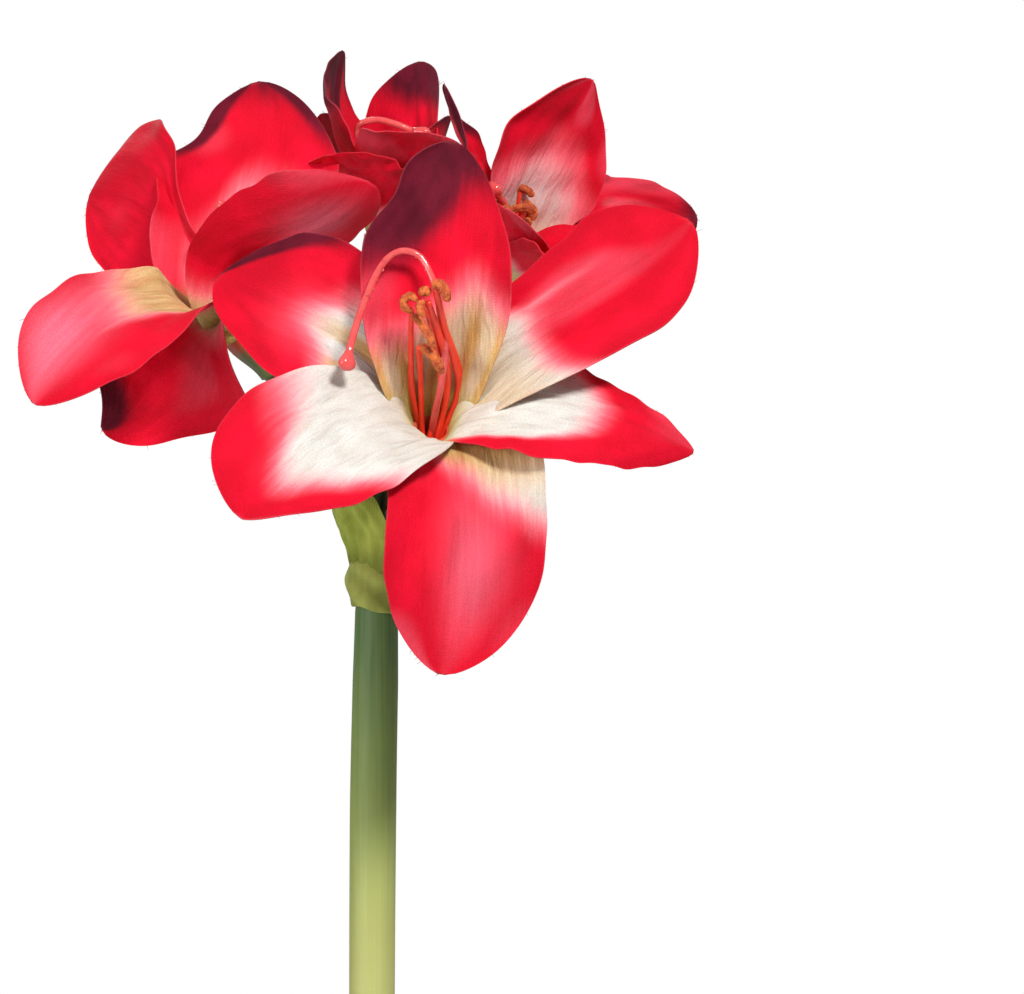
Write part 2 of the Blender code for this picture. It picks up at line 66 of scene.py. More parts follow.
# Blades
ROWS = 88
COLUMNS = 48
CAD_ROWS = 9
TEPAL_THICKNESS = 0.0005
BRACT_THICKNESS = 0.0006
INNER_TEPALS = 3
INNER_ROOT = 0.0056
OUTER_ROOT = 0.0068
ROOT_SUNK = 0.003
NOTCH_AT = 0.8
NOTCH_LENGTH = 0.09
CUT_UNEVEN = 0.012
KEEL_RADIUS = 0.002
FLATTEST = 1e-4
THREAD = 0.0007
LOOSE_THREADS = 9
LOOSE_THREAD_ROOT = 0.00009
LOOSE_THREAD_TIP = 0.00004

# Floral parts
TUBE_RADIUS = 0.0078
TUBE_BORE = 0.0050
TUBE_DEPTH = 0.008
TUBE_LENGTH = 0.022
TUBE_BASE_RADIUS = 0.0052
TUBE_LIP = 0.0006
TUBE_STEPS = 14
STAMENS = 6
STAMEN_FIRST = 55
STAMEN_CIRCLE = 0.0029
STAMEN_POINTS = 40
FILAMENT_RADIUS = 0.0012
ANTHER_RADIUS = 0.0018
STYLE_RADIUS = 0.0013
STYLE_POINTS = 90
# The style's line is cut at a point of it, and its drop is set from a neck a little short of its
# old end. Each ring of the drop is the way from the neck and the radius in style radii.
DROP_FROM = 84
DROP_NECK = 0.0030
DROP_CLEAR = 0.0004
DROP = ((0.0004, 1.05), (0.0014, 1.3), (0.0026, 1.75), (0.0038, 2.15), (0.0050, 2.35),
        (0.0060, 2.2), (0.0068, 1.75), (0.0073, 1.1), (0.0075, 0.35))

# Stalks and spathe. The scape's line is of points in millimetres and shares of its radius.
SCAPE_RADIUS = 0.0082
SCAPE_SOCKET = 0.134
SCAPE_TOP = 0.414
SCAPE_POINTS = 120
SCAPE_LINE = ((0, 0, 134, 1.0), (0, 0, 180, 1.0), (0, 0, 260, 1.0), (0.4, 0, 330, 1.02),
              (1.2, 0, 375, 1.0), (1.6, 0, 400, 0.94), (1.6, 0, 414, 0.80))
PEDICEL_RADIUS = 0.0036
PEDICEL_POINTS = 40
PEDICEL_ASIDE = 0.0024
PEDICEL_SUNK = 0.010
PEDICEL_SPREAD = 0.001
PEDICEL_ARRIVES = 0.022
PEDICEL_STRAIGHT_END = 0.003
PEDICEL_IN_TUBE = 0.0015
COLLAR_BASE = 0.3985
COLLAR_TOP = 0.4185
COLLAR_CENTRE = 0.0016
COLLAR_RADIUS = 0.0088
COLLAR_BULGE = 0.0017
COLLAR_CLOTH_RADIUS = 0.0095
COLLAR_LAP = 0.0005
COLLAR_THICKNESS = 0.0005
COLLAR_TURNS = 1.12
COLLAR_START = 10
COLLAR_ROWS = 40
COLLAR_COLUMNS = 150
BRACT_ROOT = 0.0086
BRACT_SUNK = 0.002

# Pot, soil and bulb
POT_HEIGHT = 0.125
POT_TOP_RADIUS = 0.075
POT_BASE_RADIUS = 0.050
POT_WALL = 0.006
POT_FLOOR = 0.007
POT_CORNER = 0.0016
RIM_HEIGHT = 0.026
RIM_STEP = 0.0035
DRAIN_HOLES = 3
DRAIN_RADIUS = 0.004
DRAIN_FROM_CENTRE = 0.024
SOIL_LEVEL = 0.108
SOIL_SKIRT = 0.006
CRUMBS = 420
BULB_RADIUS = 0.040
BULB_BASE = 0.060
BULB_WAIST = 0.097
NECK_RADIUS = 0.0135
NECK_BASE = 0.142
NECK_TOP = 0.158

# A blade is a tepal or a bract, with u up it from 0 to 1 and v across it from -1 to 1. Turn is its
# place round the bloom's axis. Flare is its lean out from that axis at root, middle and tip, sweep
# how far its tip swings round, roll and twist its turning about its own length, cup its curl from
# side to side at root, middle and tip, far_curl more of that where v > 0, and fold its keel, all in
# degrees. Wave, ribs and gather are relief, and notch dents the edge where v < 0. Root and point
# shape the outline, which is widest at widest, and low and high scale it at STATIONS up the blade,
# where v < 0 and where v > 0.
# Cream and dark are how far up the blade those colours meet the red, at five places across it, with
# soft the border's width and most the strongest cream. Tan ends at tan_top; it is partly the
# cloth's gold and partly painted shade in the throat and under the tepals above it, and it may be
# broken by lines of painted shadow, for the filaments' shadows and the valleys between ribs.
# A streak is (middle v, half width, from, to, strength), and the spot of pale pink sheen painted on
# the red is (u, v, length, width, strength).
NEVER = 1.4
STATIONS = (0, 0.2, 0.4, 0.6, 0.8, 1)
STATION_REACH = 0.13
PLACES_ACROSS = (-1, -0.5, 0, 0.5, 1)
BORDER_REACH = 0.30
BLADE = dict(
    sweep=0, roll=0, twist=0, cup=(75, 30, 10), far_curl=0, fold=0, notch=0, wave=0.003, ribs=0,
    gather=0, root=0.24, widest=0.56, point=0.72, low=(1,) * 6, high=(1,) * 6, cream=(0.18,) * 5,
    soft=0.2, most=1.0, tan=0.55, tan_top=0.42, stripes=0, dark=(NEVER,) * 5, streak=None,
    wash=None,
)


def blade(turn, length, width, flare, **others):
    """The values of one blade, which has BLADE's wherever it isn't given its own."""
    return {**BLADE, "turn": turn, "length": length, "width": width, "flare": flare, **others}


BRACTS = (
    blade(-130, 0.066, 0.027, (9, 29, 22), cup=(56, 44, 25), wave=0.0015, ribs=1.5, gather=0.0006,
          root=0.60, widest=0.42, point=0.95, low=(1.5, 1.25, 0.72, 0.65, 0.75, 0.9),
          high=(1.1, 1.1, 1, 1, 1, 1)),
    blade(90, 0.068, 0.019, (16, 28, 20), cup=(46, 44, 15), wave=0.0015, ribs=1.5, gather=0.0005,
          root=0.62, widest=0.42, point=0.95),
)
# A bloom's traced filaments, anthers and style are points in millimetres. Stamens without a trace
# grow to a length, with a reach to the side, up and outwards, and curl their anthers. Rise is how
# far its pedicel starts straight up. Its first three tepals are the inner ones.
BLOOMS = {
    "front": dict(
        throat=(0.0226, -0.0620, 0.4654), azimuth=6, elevation=38, rise=0.042,
        filaments=(
            ((9.8, 6.7, 10), (8.0, 8.9, 22), (4.1, 11.5, 34), (0.7, 12.9, 44), (-0.3, 15.5, 51)),
            ((8.5, 5.9, 12), (6.2, 8.3, 27), (2.3, 10.9, 40), (-0.9, 13.4, 53), (-1.8, 14.9, 57)),
            ((4.6, 5.0, 12), (3.3, 7.5, 28), (-0.7, 10.1, 42), (-4.4, 12.5, 53)),
            ((1.5, 5.1, 8), (2.1, 6.5, 20), (-0.5, 9.2, 34), (-4.1, 11.8, 48), (-5.7, 12.8, 52)),
            ((-4.4, 5.9, 12), (-5.5, 7.7, 25), (-6.4, 8.3, 34)),
            ((-7.0, 5.2, 9), (-8.6, 9.1, 26), (-9.6, 12.0, 44), (-9.5, 12.6, 48)),
        ),
        anthers=(
            ((-7.5, 13.9, 55), (-5.5, 14.8, 56), (-3.5, 13.9, 56)),
            ((-2.9, 14.5, 58), (-1.0, 14.6, 60), (1.0, 12.3, 59), (2.1, 9.9, 56)),
            ((-5.9, 12.0, 54), (-7.4, 9.4, 54), (-6.0, 6.6, 52)),
            ((-9.5, 12.1, 47), (-6.9, 8.6, 47), (-3.9, 4.5, 45), (-2.1, 2.1, 41)),
            ((-6.3, 7.1, 36), (-3.4, 4.0, 37), (-0.7, 1.3, 35), (1.7, -0.4, 30)),
            ((-9.2, 12.2, 48), (-12.1, 12.3, 50), (-12.5, 14.1, 52), (-10.2, 14.2, 54),
             (-8.3, 12.0, 54)),
        ),
        style=((0.5, 1.0, 5), (1.8, 2.7, 20.2), (2.7, 8.3, 32.4), (0.9, 14.5, 42.1),
               (-0.5, 19.9, 47.4), (-2.9, 26.3, 52), (-6.6, 31.8, 54.6), (-12, 33.5, 55.2),
               (-17.1, 31.9, 53.3), (-21.2, 27.6, 49.3), (-24.7, 20.9, 45), (-27.9, 13.7, 40.2),
               (-30, 7.6, 36.4), (-31.2, 3.2, 34.1)),
        beads=26,
        tepals=(
            blade(0, 0.100, 0.058, (8, 44, 62), sweep=9, roll=11, cup=(75, 36, 30), notch=0.22,
                  root=0.45, high=(1, 1, 1, 0.93, 0.78, 0.8), cream=(0.28, 0.33, 0.42, 0.50, 0.42),
                  soft=0.34, tan=1.0, tan_top=0.72, stripes=0.35,
                  dark=(0.53, 0.57, 0.70, 0.82, 0.86)),
            blade(97, 0.100, 0.054, (12, 96, 115), sweep=6, roll=13, cup=(60, 10, 0), far_curl=-55,
                  ribs=0.9, root=0.45, widest=0.46, point=0.95, low=(1, 1, 0.85, 0.79, 0.72, 0.7),
                  cream=(0.50, 0.60, 0.64, 0.62, 0.02), soft=0.26, tan=0.15),
            blade(243, 0.099, 0.063, (15, 87, 69), sweep=-35, cup=(60, 5, 10), ribs=1.4, root=0.40,
                  low=(1, 1.15, 0.96, 0.86, 0.74, 0.6), high=(0.8, 0.8, 0.92, 1, 1.04, 0.8),
                  cream=(0.42, 0.70, 0.76, 0.56, 0.45), soft=0.34, tan=0.10),
            blade(59, 0.120, 0.058, (16, 89, 62), sweep=-11, roll=-7, cup=(60, 10, 0), fold=20,
                  root=0.40, low=(1, 0.6, 0.62, 0.75, 1.06, 1.5),
                  high=(1, 1.05, 1.06, 1.0, 0.98, 0.85), cream=(0.22, 0.40, 0.42, 0.36, 0.40),
                  soft=0.18, streak=(-0.42, 0.10, 0.30, 0.85, 0.5)),
            blade(172, 0.100, 0.062, (22, 128, 128), sweep=16, roll=6, cup=(60, 10, 10), ribs=0.8,
                  root=0.45, low=(1, 1.3, 1.1, 1.05, 1.06, 1),
                  high=(1, 0.9, 0.84, 0.86, 0.86, 0.9), cream=(0.46, 0.38, 0.26, 0.10, -0.05),
                  soft=0.26, tan=1.0, tan_top=0.46, wash=(0.62, -0.2, 0.26, 0.35, 0.38)),
            blade(303, 0.104, 0.058, (16, 98, 112), sweep=20, roll=24, cup=(60, 15, 10), ribs=1.4,
                  root=0.40, low=(1, 1, 0.9, 0.8, 0.66, 0.7), high=(1, 1, 1, 1, 1.02, 1.1),
                  cream=(0.20, 0.42, 0.58, 0.42, 0.22), soft=0.30, tan=1.0, tan_top=0.62,
                  stripes=1.0, dark=(NEVER, NEVER, NEVER, 0.98, 0.48),
                  wash=(0.52, -0.1, 0.14, 0.35, 0.3)),
        ),
    ),
    "left": dict(
        throat=(-0.0485, 0.0050, 0.5035), azimuth=-62, elevation=52, rise=0.037,
        stamen_length=0.035, stamen_reach=(0.002, 0.015, 0.002), anther_length=0.009,
        style=((0, 0, 0), (0.3, 1.5, 12), (0.6, 6, 24), (1, 13, 32), (1.5, 19, 36)),
        tepals=(
            blade(334, 0.097, 0.071, (11, 68, 23), sweep=7, roll=-35, cup=(75, 25, 10), ribs=0.8,
                  root=0.45, low=(1, 1.1, 0.86, 0.98, 0.68, 1.1), high=(1, 1, 1, 1.04, 0.92, 0.9),
                  cream=(-0.1, 0.2, 0.60, 0.52, 0.3), soft=0.5, most=0.75,
                  dark=(0.55, 0.96, 0.99, 0.97, 0.74)),
            blade(184, 0.063, 0.050, (18, 112, 70), sweep=19, twist=125, root=0.6,
                  low=(1, 1.7, 1.9, 1.35, 0.95, 0.8), high=(1, 1.4, 1.1, 0.95, 0.9, 0.8),
                  dark=(1.2, 1.0, 0.76, 0.64, 0.62)),
            blade(72, 0.088, 0.058, (6, 90, 60), sweep=-40, roll=50, cup=(70, 45, 30), root=0.5,
                  high=(1, 1, 0.9, 0.84, 1.2, 1.5), wash=(0.72, 0.05, 0.15, 0.35, 0.5)),
            blade(291, 0.098, 0.058, (10, 57, 82), sweep=-27, roll=38, far_curl=-40,
                  high=(1, 0.5, 0.45, 1.05, 1.45, 2.2)),
            blade(151, 0.104, 0.048, (13, 77, 98), sweep=27, roll=43, root=0.55,
                  low=(1, 1, 1.05, 1.05, 1, 1), high=(1, 1, 0.92, 1.0, 1.22, 1.2),
                  cream=(0.12, 0.24, 0.50, 0.44, 0.36), soft=0.38, tan=0.9, tan_top=0.75,
                  streak=(0.02, 0.08, 0.28, 0.80, 0.7), wash=(0.74, 0.45, 0.25, 0.45, 0.6)),
            blade(37, 0.044, 0.046, (12, 69, 44), sweep=9),
        ),
    ),
    "right": dict(
        throat=(0.0460, 0.0250, 0.5224), azimuth=50, elevation=50, rise=0.060, stamen_length=0.031,
        stamen_reach=(-0.009, 0.0065, 0.0055), anther_length=0.012,
        style=((0, 0, 0), (-3, 0, 10), (-8, 1, 20), (-15, 3, 28), (-23, 5, 33)),
        tepals=(
            blade(12, 0.078, 0.055, (10, 10, 16), sweep=12, high=(1, 1, 0.95, 0.85, 0.82, 0.6),
                  cream=(0.3, 0.50, 0.62, 0.58, 0.35), soft=0.50, most=0.8),
            blade(132, 0.062, 0.050, (9, 52, 54), sweep=-5, low=(1, 0.8, 0.65, 0.6, 0.6, 0.6)),
            blade(252, 0.052, 0.046, (9, 50, 40), sweep=4),
            blade(86, 0.103, 0.043, (12, 85, 80), sweep=4, roll=-34,
                  low=(1, 0.9, 0.78, 0.73, 0.73, 0.8), dark=(0.94, 0.94, 0.92, 0.90, 0.88),
                  streak=(-0.3, 0.16, 0.40, 0.95, 0.3)),
            blade(192, 0.072, 0.050, (12, 66, 46), sweep=8),
            blade(306, 0.078, 0.038, (11, 48, 38), high=(1, 1, 0.6, 0.45, 0.45, 0.6),
                  dark=(0.55, 0.75, 0.85, 0.8, 0.6)),
        ),
    ),
    "back": dict(
        throat=(0.0035, 0.0450, 0.5370), azimuth=150, elevation=68, rise=0.050,
        stamen_length=0.005, stamen_reach=(0, 0, 0.0005), anther_length=0.004,
        style=((0.5, 1, 5), (3.9, 6.6, 16.5), (8.9, 13.8, 29.6), (10.5, 17.1, 35.5),
               (8.4, 18.3, 38.5), (2.7, 16.7, 40.3), (-3.2, 14, 39.7), (-8, 10.6, 38.7),
               (-10.9, 8.7, 38.3)),
        tepals=(
            blade(76, 0.081, 0.042, (22, 26, -10), sweep=4, low=(1, 1.2, 1.3, 1.3, 1.2, 1),
                  dark=(0.50, 0.70, 0.50, 0.92, 0.85)),
            blade(186, 0.082, 0.048, (6, 2, 18), sweep=-24, high=(1, 1, 0.8, 0.6, 0.52, 0.7),
                  dark=(0.88, 0.84, 0.76, 0.68, 0.60)),
            blade(315, 0.052, 0.046, (6, 66, 78)),
            blade(4, 0.042, 0.044, (11, 80, 84)),
            blade(118, 0.080, 0.042, (12, 44, 36), sweep=-4, dark=(0.95, 0.95, 0.85, 0.70, 0.50)),
            blade(257, 0.052, 0.040, (11, 5, 24), sweep=-4, high=(1, 1, 0.7, 0.6, 0.6, 0.7),
                  dark=(0.85, 0.88, 0.92, 0.88, 0.80)),
        ),
    ),
}


# Mesh helpers


def smooth(low, high, value):
    share = np.clip((value - low) / (high - low), 0.0, 1.0)
    return share * share * (3 - 2 * share)


def ripple(seed, a, b, turns=6):
    """A smooth uneven field of about -1 to 1 over the two inputs."""
    draw = np.random.default_rng(seed)
    total = 0.0
    for _ in range(turns):
        p, q = draw.normal(0, 1, 2)
        r = draw.uniform(0, 2 * pi)
        total = total + np.sin(p * a + q * b + r)
    return total / turns**0.5 * 0.8


def linked(name, data):
    obj = bpy.data.objects.new(name, data)
    bpy.context.scene.collection.objects.link(obj)
    return obj


def mesh_object(name, points, faces, material):
    mesh = bpy.data.meshes.new(name)
    mesh.from_pydata([tuple(p) for p in points], [], faces)
    mesh.shade_smooth()
    mesh.materials.append(material)
    return linked(name, mesh)


def shape_object(name, shape, material, soft=False):
    """The object of a bmesh, which is used up."""
    mesh = bpy.data.meshes.new(name)
    shape.to_mesh(mesh)
    shape.free()
    if soft:
        mesh.shade_smooth()
    mesh.materials.append(material)
    return linked(name, mesh)


def keep(obj, node):
    """The piece rides on the one body and stands for the node, which is hidden."""
    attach(obj, "root")
    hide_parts(node)


def quads(rows, columns, wrap=False, offset=0, flip=False):
    """The faces of a grid of points, rows by columns of faces."""
    across = columns if wrap else columns + 1
    found = []
    for i in range(rows):
        for j in range(columns):
            k = (j + 1) % across
            face = (i * across + j, i * across + k, (i + 1) * across + k, (i + 1) * across + j)
            face = tuple(offset + corner for corner in face)
            found.append(face[::-1] if flip else face)
    return found


def sheet_normals(grid):
    along = np.gradient(grid, axis=0)
    across = np.gradient(grid, axis=1)
    normal = np.cross(across, along)
    return normal / np.maximum(np.linalg.norm(normal, axis=2, keepdims=True), 1e-12)


def sheet_object(name, grid, thickness, material, uv, masks):
    """A closed thin sheet on a grid of points, with its cloth coordinates and its colour masks."""
    rows, columns = grid.shape[0] - 1, grid.shape[1] - 1
    half = sheet_normals(grid) * np.reshape(thickness, (-1, 1, 1)) / 2
    count = (rows + 1) * (columns + 1)
    points = np.concatenate([(grid + half).reshape(-1, 3), (grid - half).reshape(-1, 3)])
    faces = quads(rows, columns) + quads(rows, columns, offset=count, flip=True)
    index = np.arange(count).reshape(rows + 1, columns + 1)
    rim = [*index[0, :], *index[1:, -1], *index[-1, -2::-1], *index[-2:0:-1, 0]]
    for a, b in zip(rim, rim[1:] + rim[:1]):
        faces.append((int(b), int(a), int(a) + count, int(b) + count))
    obj = mesh_object(name, points, faces, material)
    corners = np.empty(len(obj.data.loops), np.int32)
    obj.data.loops.foreach_get("vertex_index", corners)
    both = np.tile(uv.reshape(-1, 2), (2, 1))[corners]
    layer = obj.data.uv_layers.new(name="cloth")
    layer.data.foreach_set("uv", both.astype(np.float32).ravel())
    for mask, values in masks.items():
        add_mask(obj.data, mask, np.tile(values.reshape(-1, 4), (2, 1)))
    return obj


def add_mask(mesh, name, values):
    colours = mesh.color_attributes.new(name, "FLOAT_COLOR", "POINT")
    colours.data.foreach_set("color", values.astype(np.float32).ravel())


def tube_object(name, line, radii, material, sides, shape=None):
    """A closed tube round a line. Its rings may be shaped by a function of (share, angles)."""
    line = np.array(line, float)
    tangent = np.gradient(line, axis=0)
    tangent /= np.linalg.norm(tangent, axis=1, keepdims=True)
    side = np.cross(tangent[0], (0.0, 0.0, 1.0))
    if np.linalg.norm(side) < 0.2:
        side = np.cross(tangent[0], (0.0, 1.0, 0.0))
    angles = np.arange(sides) * 2 * pi / sides
    rings = []
    for i, t in enumerate(tangent):
        side = side - (side @ t) * t
        side /= np.linalg.norm(side)
        other = np.cross(t, side)
        share = shape(i / (len(line) - 1), angles) if shape else np.ones(sides)
        ring = np.outer(np.cos(angles) * share, side) + np.outer(np.sin(angles) * share, other)
        rings.append(line[i] + ring * radii[i])
    faces = quads(len(line) - 1, sides, wrap=True)
    faces.append(tuple(range(sides))[::-1])
    faces.append(tuple(range((len(line) - 1) * sides, len(line) * sides)))
    return mesh_object(name, np.concatenate(rings), faces, material)


def lathe_object(name, profile, material, steps, relief):
    """A closed profile of (radius, height) turned about Z, with a relief of (angle, height)."""
    profile = np.array(profile, float)
    angles = np.arange(steps) * 2 * pi / steps
    radius, height = (np.repeat(profile[:, i : i + 1], steps, axis=1) for i in (0, 1))
    radius, height = relief(angles[None, :], radius, height)
    points = np.stack([radius * np.cos(angles), radius * np.sin(angles), height], axis=2)
    faces = quads(len(profile) - 1, steps, wrap=True)
    obj = mesh_object(name, points.reshape(-1, 3), faces, material)
    weld(obj.data)
    return obj


def weld(mesh):
    """Joins the points that lie on the axis or on a seam, and turns every face outwards."""
    shape = bmesh.new()
    shape.from_mesh(mesh)
    bmesh.ops.remove_doubles(shape, verts=shape.verts, dist=1e-6)
    bmesh.ops.recalc_face_normals(shape, faces=shape.faces)
    shape.to_mesh(mesh)
    shape.free()


def joined(objects, name):
    """Several objects made into one, under the name of the piece."""
    with bpy.context.temp_override(active_object=objects[0], selected_editable_objects=objects):
        bpy.ops.object.join()
    objects[0].name = name
    return objects[0]


def curve_through(points, count):
    known = [Vector(point) for point in points]
    known = [2 * known[0] - known[1], *known, 2 * known[-1] - known[-2]]
    found = []
    for i in range(count):
        place = i / (count - 1) * (len(known) - 3)
        first = min(int(place), len(known) - 4)
        t = place - first
        a, b, c, d = known[first : first + 4]
        bent = (2 * a - 5 * b + 4 * c - d) * t**2
        found.append(0.5 * (2 * b + (c - a) * t + bent + (3 * b - a - 3 * c + d) * t**3))
    return found


def bezier(ends, count):
    points = []
    for i in range(count):
        t = i / (count - 1)
        weights = ((1 - t) ** 3, 3 * t * (1 - t) ** 2, 3 * t * t * (1 - t), t**3)
        points.append(sum((w * p for w, p in zip(weights, ends)), Vector()))
    return points


# Material helpers


class Paint:
    """A material, with short calls that add its nodes."""

    def __init__(self, name):
        self.material = bpy.data.materials.new(name)
        self.material.use_nodes = True
        self.tree = self.material.node_tree

    def plug(self, socket, value):
        if isinstance(value, bpy.types.NodeSocket):
            self.tree.links.new(value, socket)
        elif isinstance(value, tuple) and len(value) == 3 and socket.type == "RGBA":
            socket.default_value = (*value, 1.0)
        else:
            socket.default_value = value

    def add(self, kind, inputs=None, **settings):
        node = self.tree.nodes.new(kind)
        for key, value in settings.items():
            setattr(node, key, value)
        for key, value in (inputs or {}).items():
            self.plug(node.inputs[key], value)
        return node

    def finished(self, **values):
        shader = self.tree.nodes["Principled BSDF"]
        for key, value in values.items():
            self.plug(shader.inputs[key.replace("_", " ")], value)
        return self.material

    def math(self, operation, a, b=0.0):
        return self.add("ShaderNodeMath", {0: a, 1: b}, operation=operation).outputs[0]

    def mix(self, factor, a, b, blend="MIX"):
        node = self.add("ShaderNodeMix", data_type="RGBA", blend_type=blend)
        for index, value in ((0, factor), (6, a), (7, b)):
            self.plug(node.inputs[index], value)
        return node.outputs[2]

    def step(self, value, low, high, to_low=0.0, to_high=1.0):
        inputs = {0: value, 1: low, 2: high, 3: to_low, 4: to_high}
        return self.add("ShaderNodeMapRange", inputs, interpolation_type="SMOOTHSTEP").outputs[0]

    def layered(self, colour, *layers):
        """The colour under layers of (mask, where it starts, where it is full, share, colour)."""
        for mask, low, high, share, over in layers:
            colour = self.mix(self.step(mask, low, high, 0.0, share), colour, over)
        return colour

    def drift(self, value, noise, amount):
        """The value, made uneven by the noise."""
        uneven = self.math("MULTIPLY", self.math("SUBTRACT", noise, 0.5), amount)
        return self.math("ADD", value, uneven)

    def place(self):
        return self.add("ShaderNodeTexCoord").outputs["Object"]

    def height(self, place):
        return self.add("ShaderNodeSeparateXYZ", {0: place}).outputs[2]

    def cloth(self):
        return self.add("ShaderNodeUVMap", uv_map="cloth").outputs[0]

    def masks(self, name):
        """The four values of one of the mesh's masks."""
        node = self.add("ShaderNodeAttribute", attribute_name=name)
        split = self.add("ShaderNodeSeparateColor", {0: node.outputs["Color"]})
        return *split.outputs, node.outputs["Alpha"]

    def scaled(self, vector, scale, turn=0.0):
        inputs = {0: vector, 2: (0.0, 0.0, radians(turn)), 3: scale}
        return self.add("ShaderNodeMapping", inputs).outputs[0]

    def noise(self, vector, scale, detail=4.0, roughness=0.55, distortion=0.0):
        """Noise at one scale, or at three along the axes."""
        if isinstance(scale, tuple):
            vector, scale = self.scaled(vector, scale), 1.0
        inputs = {"Vector": vector, "Scale": scale, "Detail": detail, "Roughness": roughness,
                  "Distortion": distortion}
        return self.add("ShaderNodeTexNoise", inputs).outputs[0]

    def bump(self, height, distance, strength=1.0, under=None):
        inputs = {"Height": height, "Distance": distance, "Strength": strength}
        if under is not None:
            inputs["Normal"] = under
        return self.add("ShaderNodeBump", inputs).outputs[0]

    def weave(self, cloth, turn):
        """The relief of an uneven plain weave, with threads a THREAD apart, laid at an angle."""
        vector = self.scaled(cloth, (1 / THREAD, 1 / THREAD, 1.0), turn)
        uneven = self.noise(vector, 0.11, 2.0)
        place = self.add("ShaderNodeSeparateXYZ", {0: vector})
        warp, weft = (
            self.math("SINE", self.math("MULTIPLY", self.math("ADD", along, uneven), 2 * pi))
            for along in place.outputs[:2]
        )
        return self.step(self.math("MULTIPLY", warp, weft), -1.0, 1.0)


def petal_material():
    """Sprayed cloth: red with purple edges, paling through pink to cream and tan at the throat,
    with painted sheen, highlights and shade.
    """
    paint = Paint("petal_cloth")
    cream, dark, green, cut_edge = paint.masks("paint")
    # Painted light: tan, partly the cloth's gold and partly painted shade in the throat; a pale
    # pink painted sheen; and painted shade that darkens the red towards the edges.
    tan, pink, deep_shade, _ = paint.masks("wash")
    cloth = paint.cloth()
    streaks = paint.noise(cloth, (520.0, 46.0, 1.0), 5.0)
    fibres = paint.noise(cloth, (2400.0, 260.0, 1.0), 3.0)
    mottle = paint.noise(cloth, (60.0, 45.0, 1.0), 3.0)
    folds = paint.noise(cloth, (300.0, 62.0, 1.0), 2.0, distortion=0.5)
    grain = paint.noise(cloth, (1900.0, 1500.0, 1.0), 3.0, 0.65)
    threads = paint.weave(cloth, 38)

    red = paint.layered((0.62, 0.0008, 0.015), (mottle, 0.30, 0.70, 1.0, (0.82, 0.0022, 0.028)))
    # Painted shade: the red darkened towards the edges and in random patches.
    red = paint.mix(paint.math("MULTIPLY", deep_shade, 0.75), red, (0.47, 0.0006, 0.012))
    # Painted highlight: the red lighter on the weave's raised threads.
    red = paint.layered(
        red,
        (threads, 0.60, 1.0, 0.26, (0.92, 0.016, 0.060)),
        (fibres, 0.62, 0.80, 0.16, (0.92, 0.05, 0.11)),
    )
    # Painted sheen: the red paled towards pink, in streaks, where the sheen mask lies.
    bloom = paint.math("MULTIPLY", pink, paint.step(streaks, 0.30, 0.75, 0.75, 1.0))
    red = paint.mix(bloom, red, (0.95, 0.28, 0.40))

    # Painted shade: the cream greyed in the valleys of the pressed folds.
    pale = paint.layered(
        (0.60, 0.58, 0.54),
        (mottle, 0.35, 0.65, 1.0, (0.68, 0.67, 0.64)),
        (folds, 0.52, 0.30, 0.45, (0.50, 0.44, 0.40)),
    )
    # Painted shade: the cream darker between the weave's threads.
    pale = paint.mix(paint.step(threads, 0.0, 0.5, 0.14, 0.0), pale, (0.58, 0.52, 0.42))
    # Tan: partly the cloth's gold, partly painted shade in the throat and under the tepals above.
    gold = paint.layered((0.50, 0.27, 0.075), (streaks, 0.30, 0.70, 1.0, (0.66, 0.44, 0.18)))
    pale = paint.mix(tan, pale, gold)

    edge = paint.drift(cream, streaks, paint.step(cream, 0.0, 0.30, 0.0, 0.30))
    colour = paint.layered(
        red, (edge, 0.02, 0.62, 1.0, (0.93, 0.17, 0.22)), (edge, 0.34, 0.98, 1.0, pale)
    )
    colour = paint.mix(green, colour, (0.60, 0.57, 0.13))
    purple = paint.layered((0.050, 0.003, 0.011), (mottle, 0.3, 0.7, 1.0, (0.115, 0.006, 0.020)))
    shade = paint.drift(dark, streaks, 0.35)
    colour = paint.layered(colour, (shade, 0.10, 0.95, 0.96, purple))
    pits = paint.step(grain, 0.35, 0.68, 0.42, 0.0)
    colour = paint.mix(pits, colour, (0.62, 0.60, 0.60), "MULTIPLY")
    frayed = paint.math("MULTIPLY", cut_edge, 0.10)
    colour = paint.mix(frayed, colour, (0.80, 0.16, 0.20))

    fine = paint.math("MULTIPLY", paint.math("ADD", fibres, grain), 0.6)
    pressed = paint.bump(folds, 0.0030, paint.step(cream, 0.0, 0.6, 0.12, 0.45))
    veins = paint.bump(streaks, 0.0011, paint.step(cream, 0.0, 0.6, 0.22, 0.45), pressed)
    return paint.finished(
        Base_Color=colour,
        Roughness=0.72,
        Specular_IOR_Level=0.09,
        Normal=paint.bump(paint.math("ADD", threads, fine), 0.00014, 0.6, veins),
        Sheen_Weight=0.02,
        Sheen_Roughness=0.4,
        Subsurface_Weight=0.15,
        Subsurface_Scale=0.0025,
        Subsurface_Radius=(1.0, 0.25, 0.15),
    )


def stamen_material():
    paint = Paint("filament_red")
    place = paint.place()
    tone = paint.noise(place, 160.0, 3.0)
    return paint.finished(
        Base_Color=paint.mix(tone, (0.62, 0.020, 0.010), (0.88, 0.060, 0.024)),
        Roughness=0.32,
        Subsurface_Weight=0.2,
        Subsurface_Scale=0.002,
        Subsurface_Radius=(1.0, 0.25, 0.12),
        Normal=paint.bump(paint.noise(place, 900.0, 3.0), 0.00015, 0.3),
    )


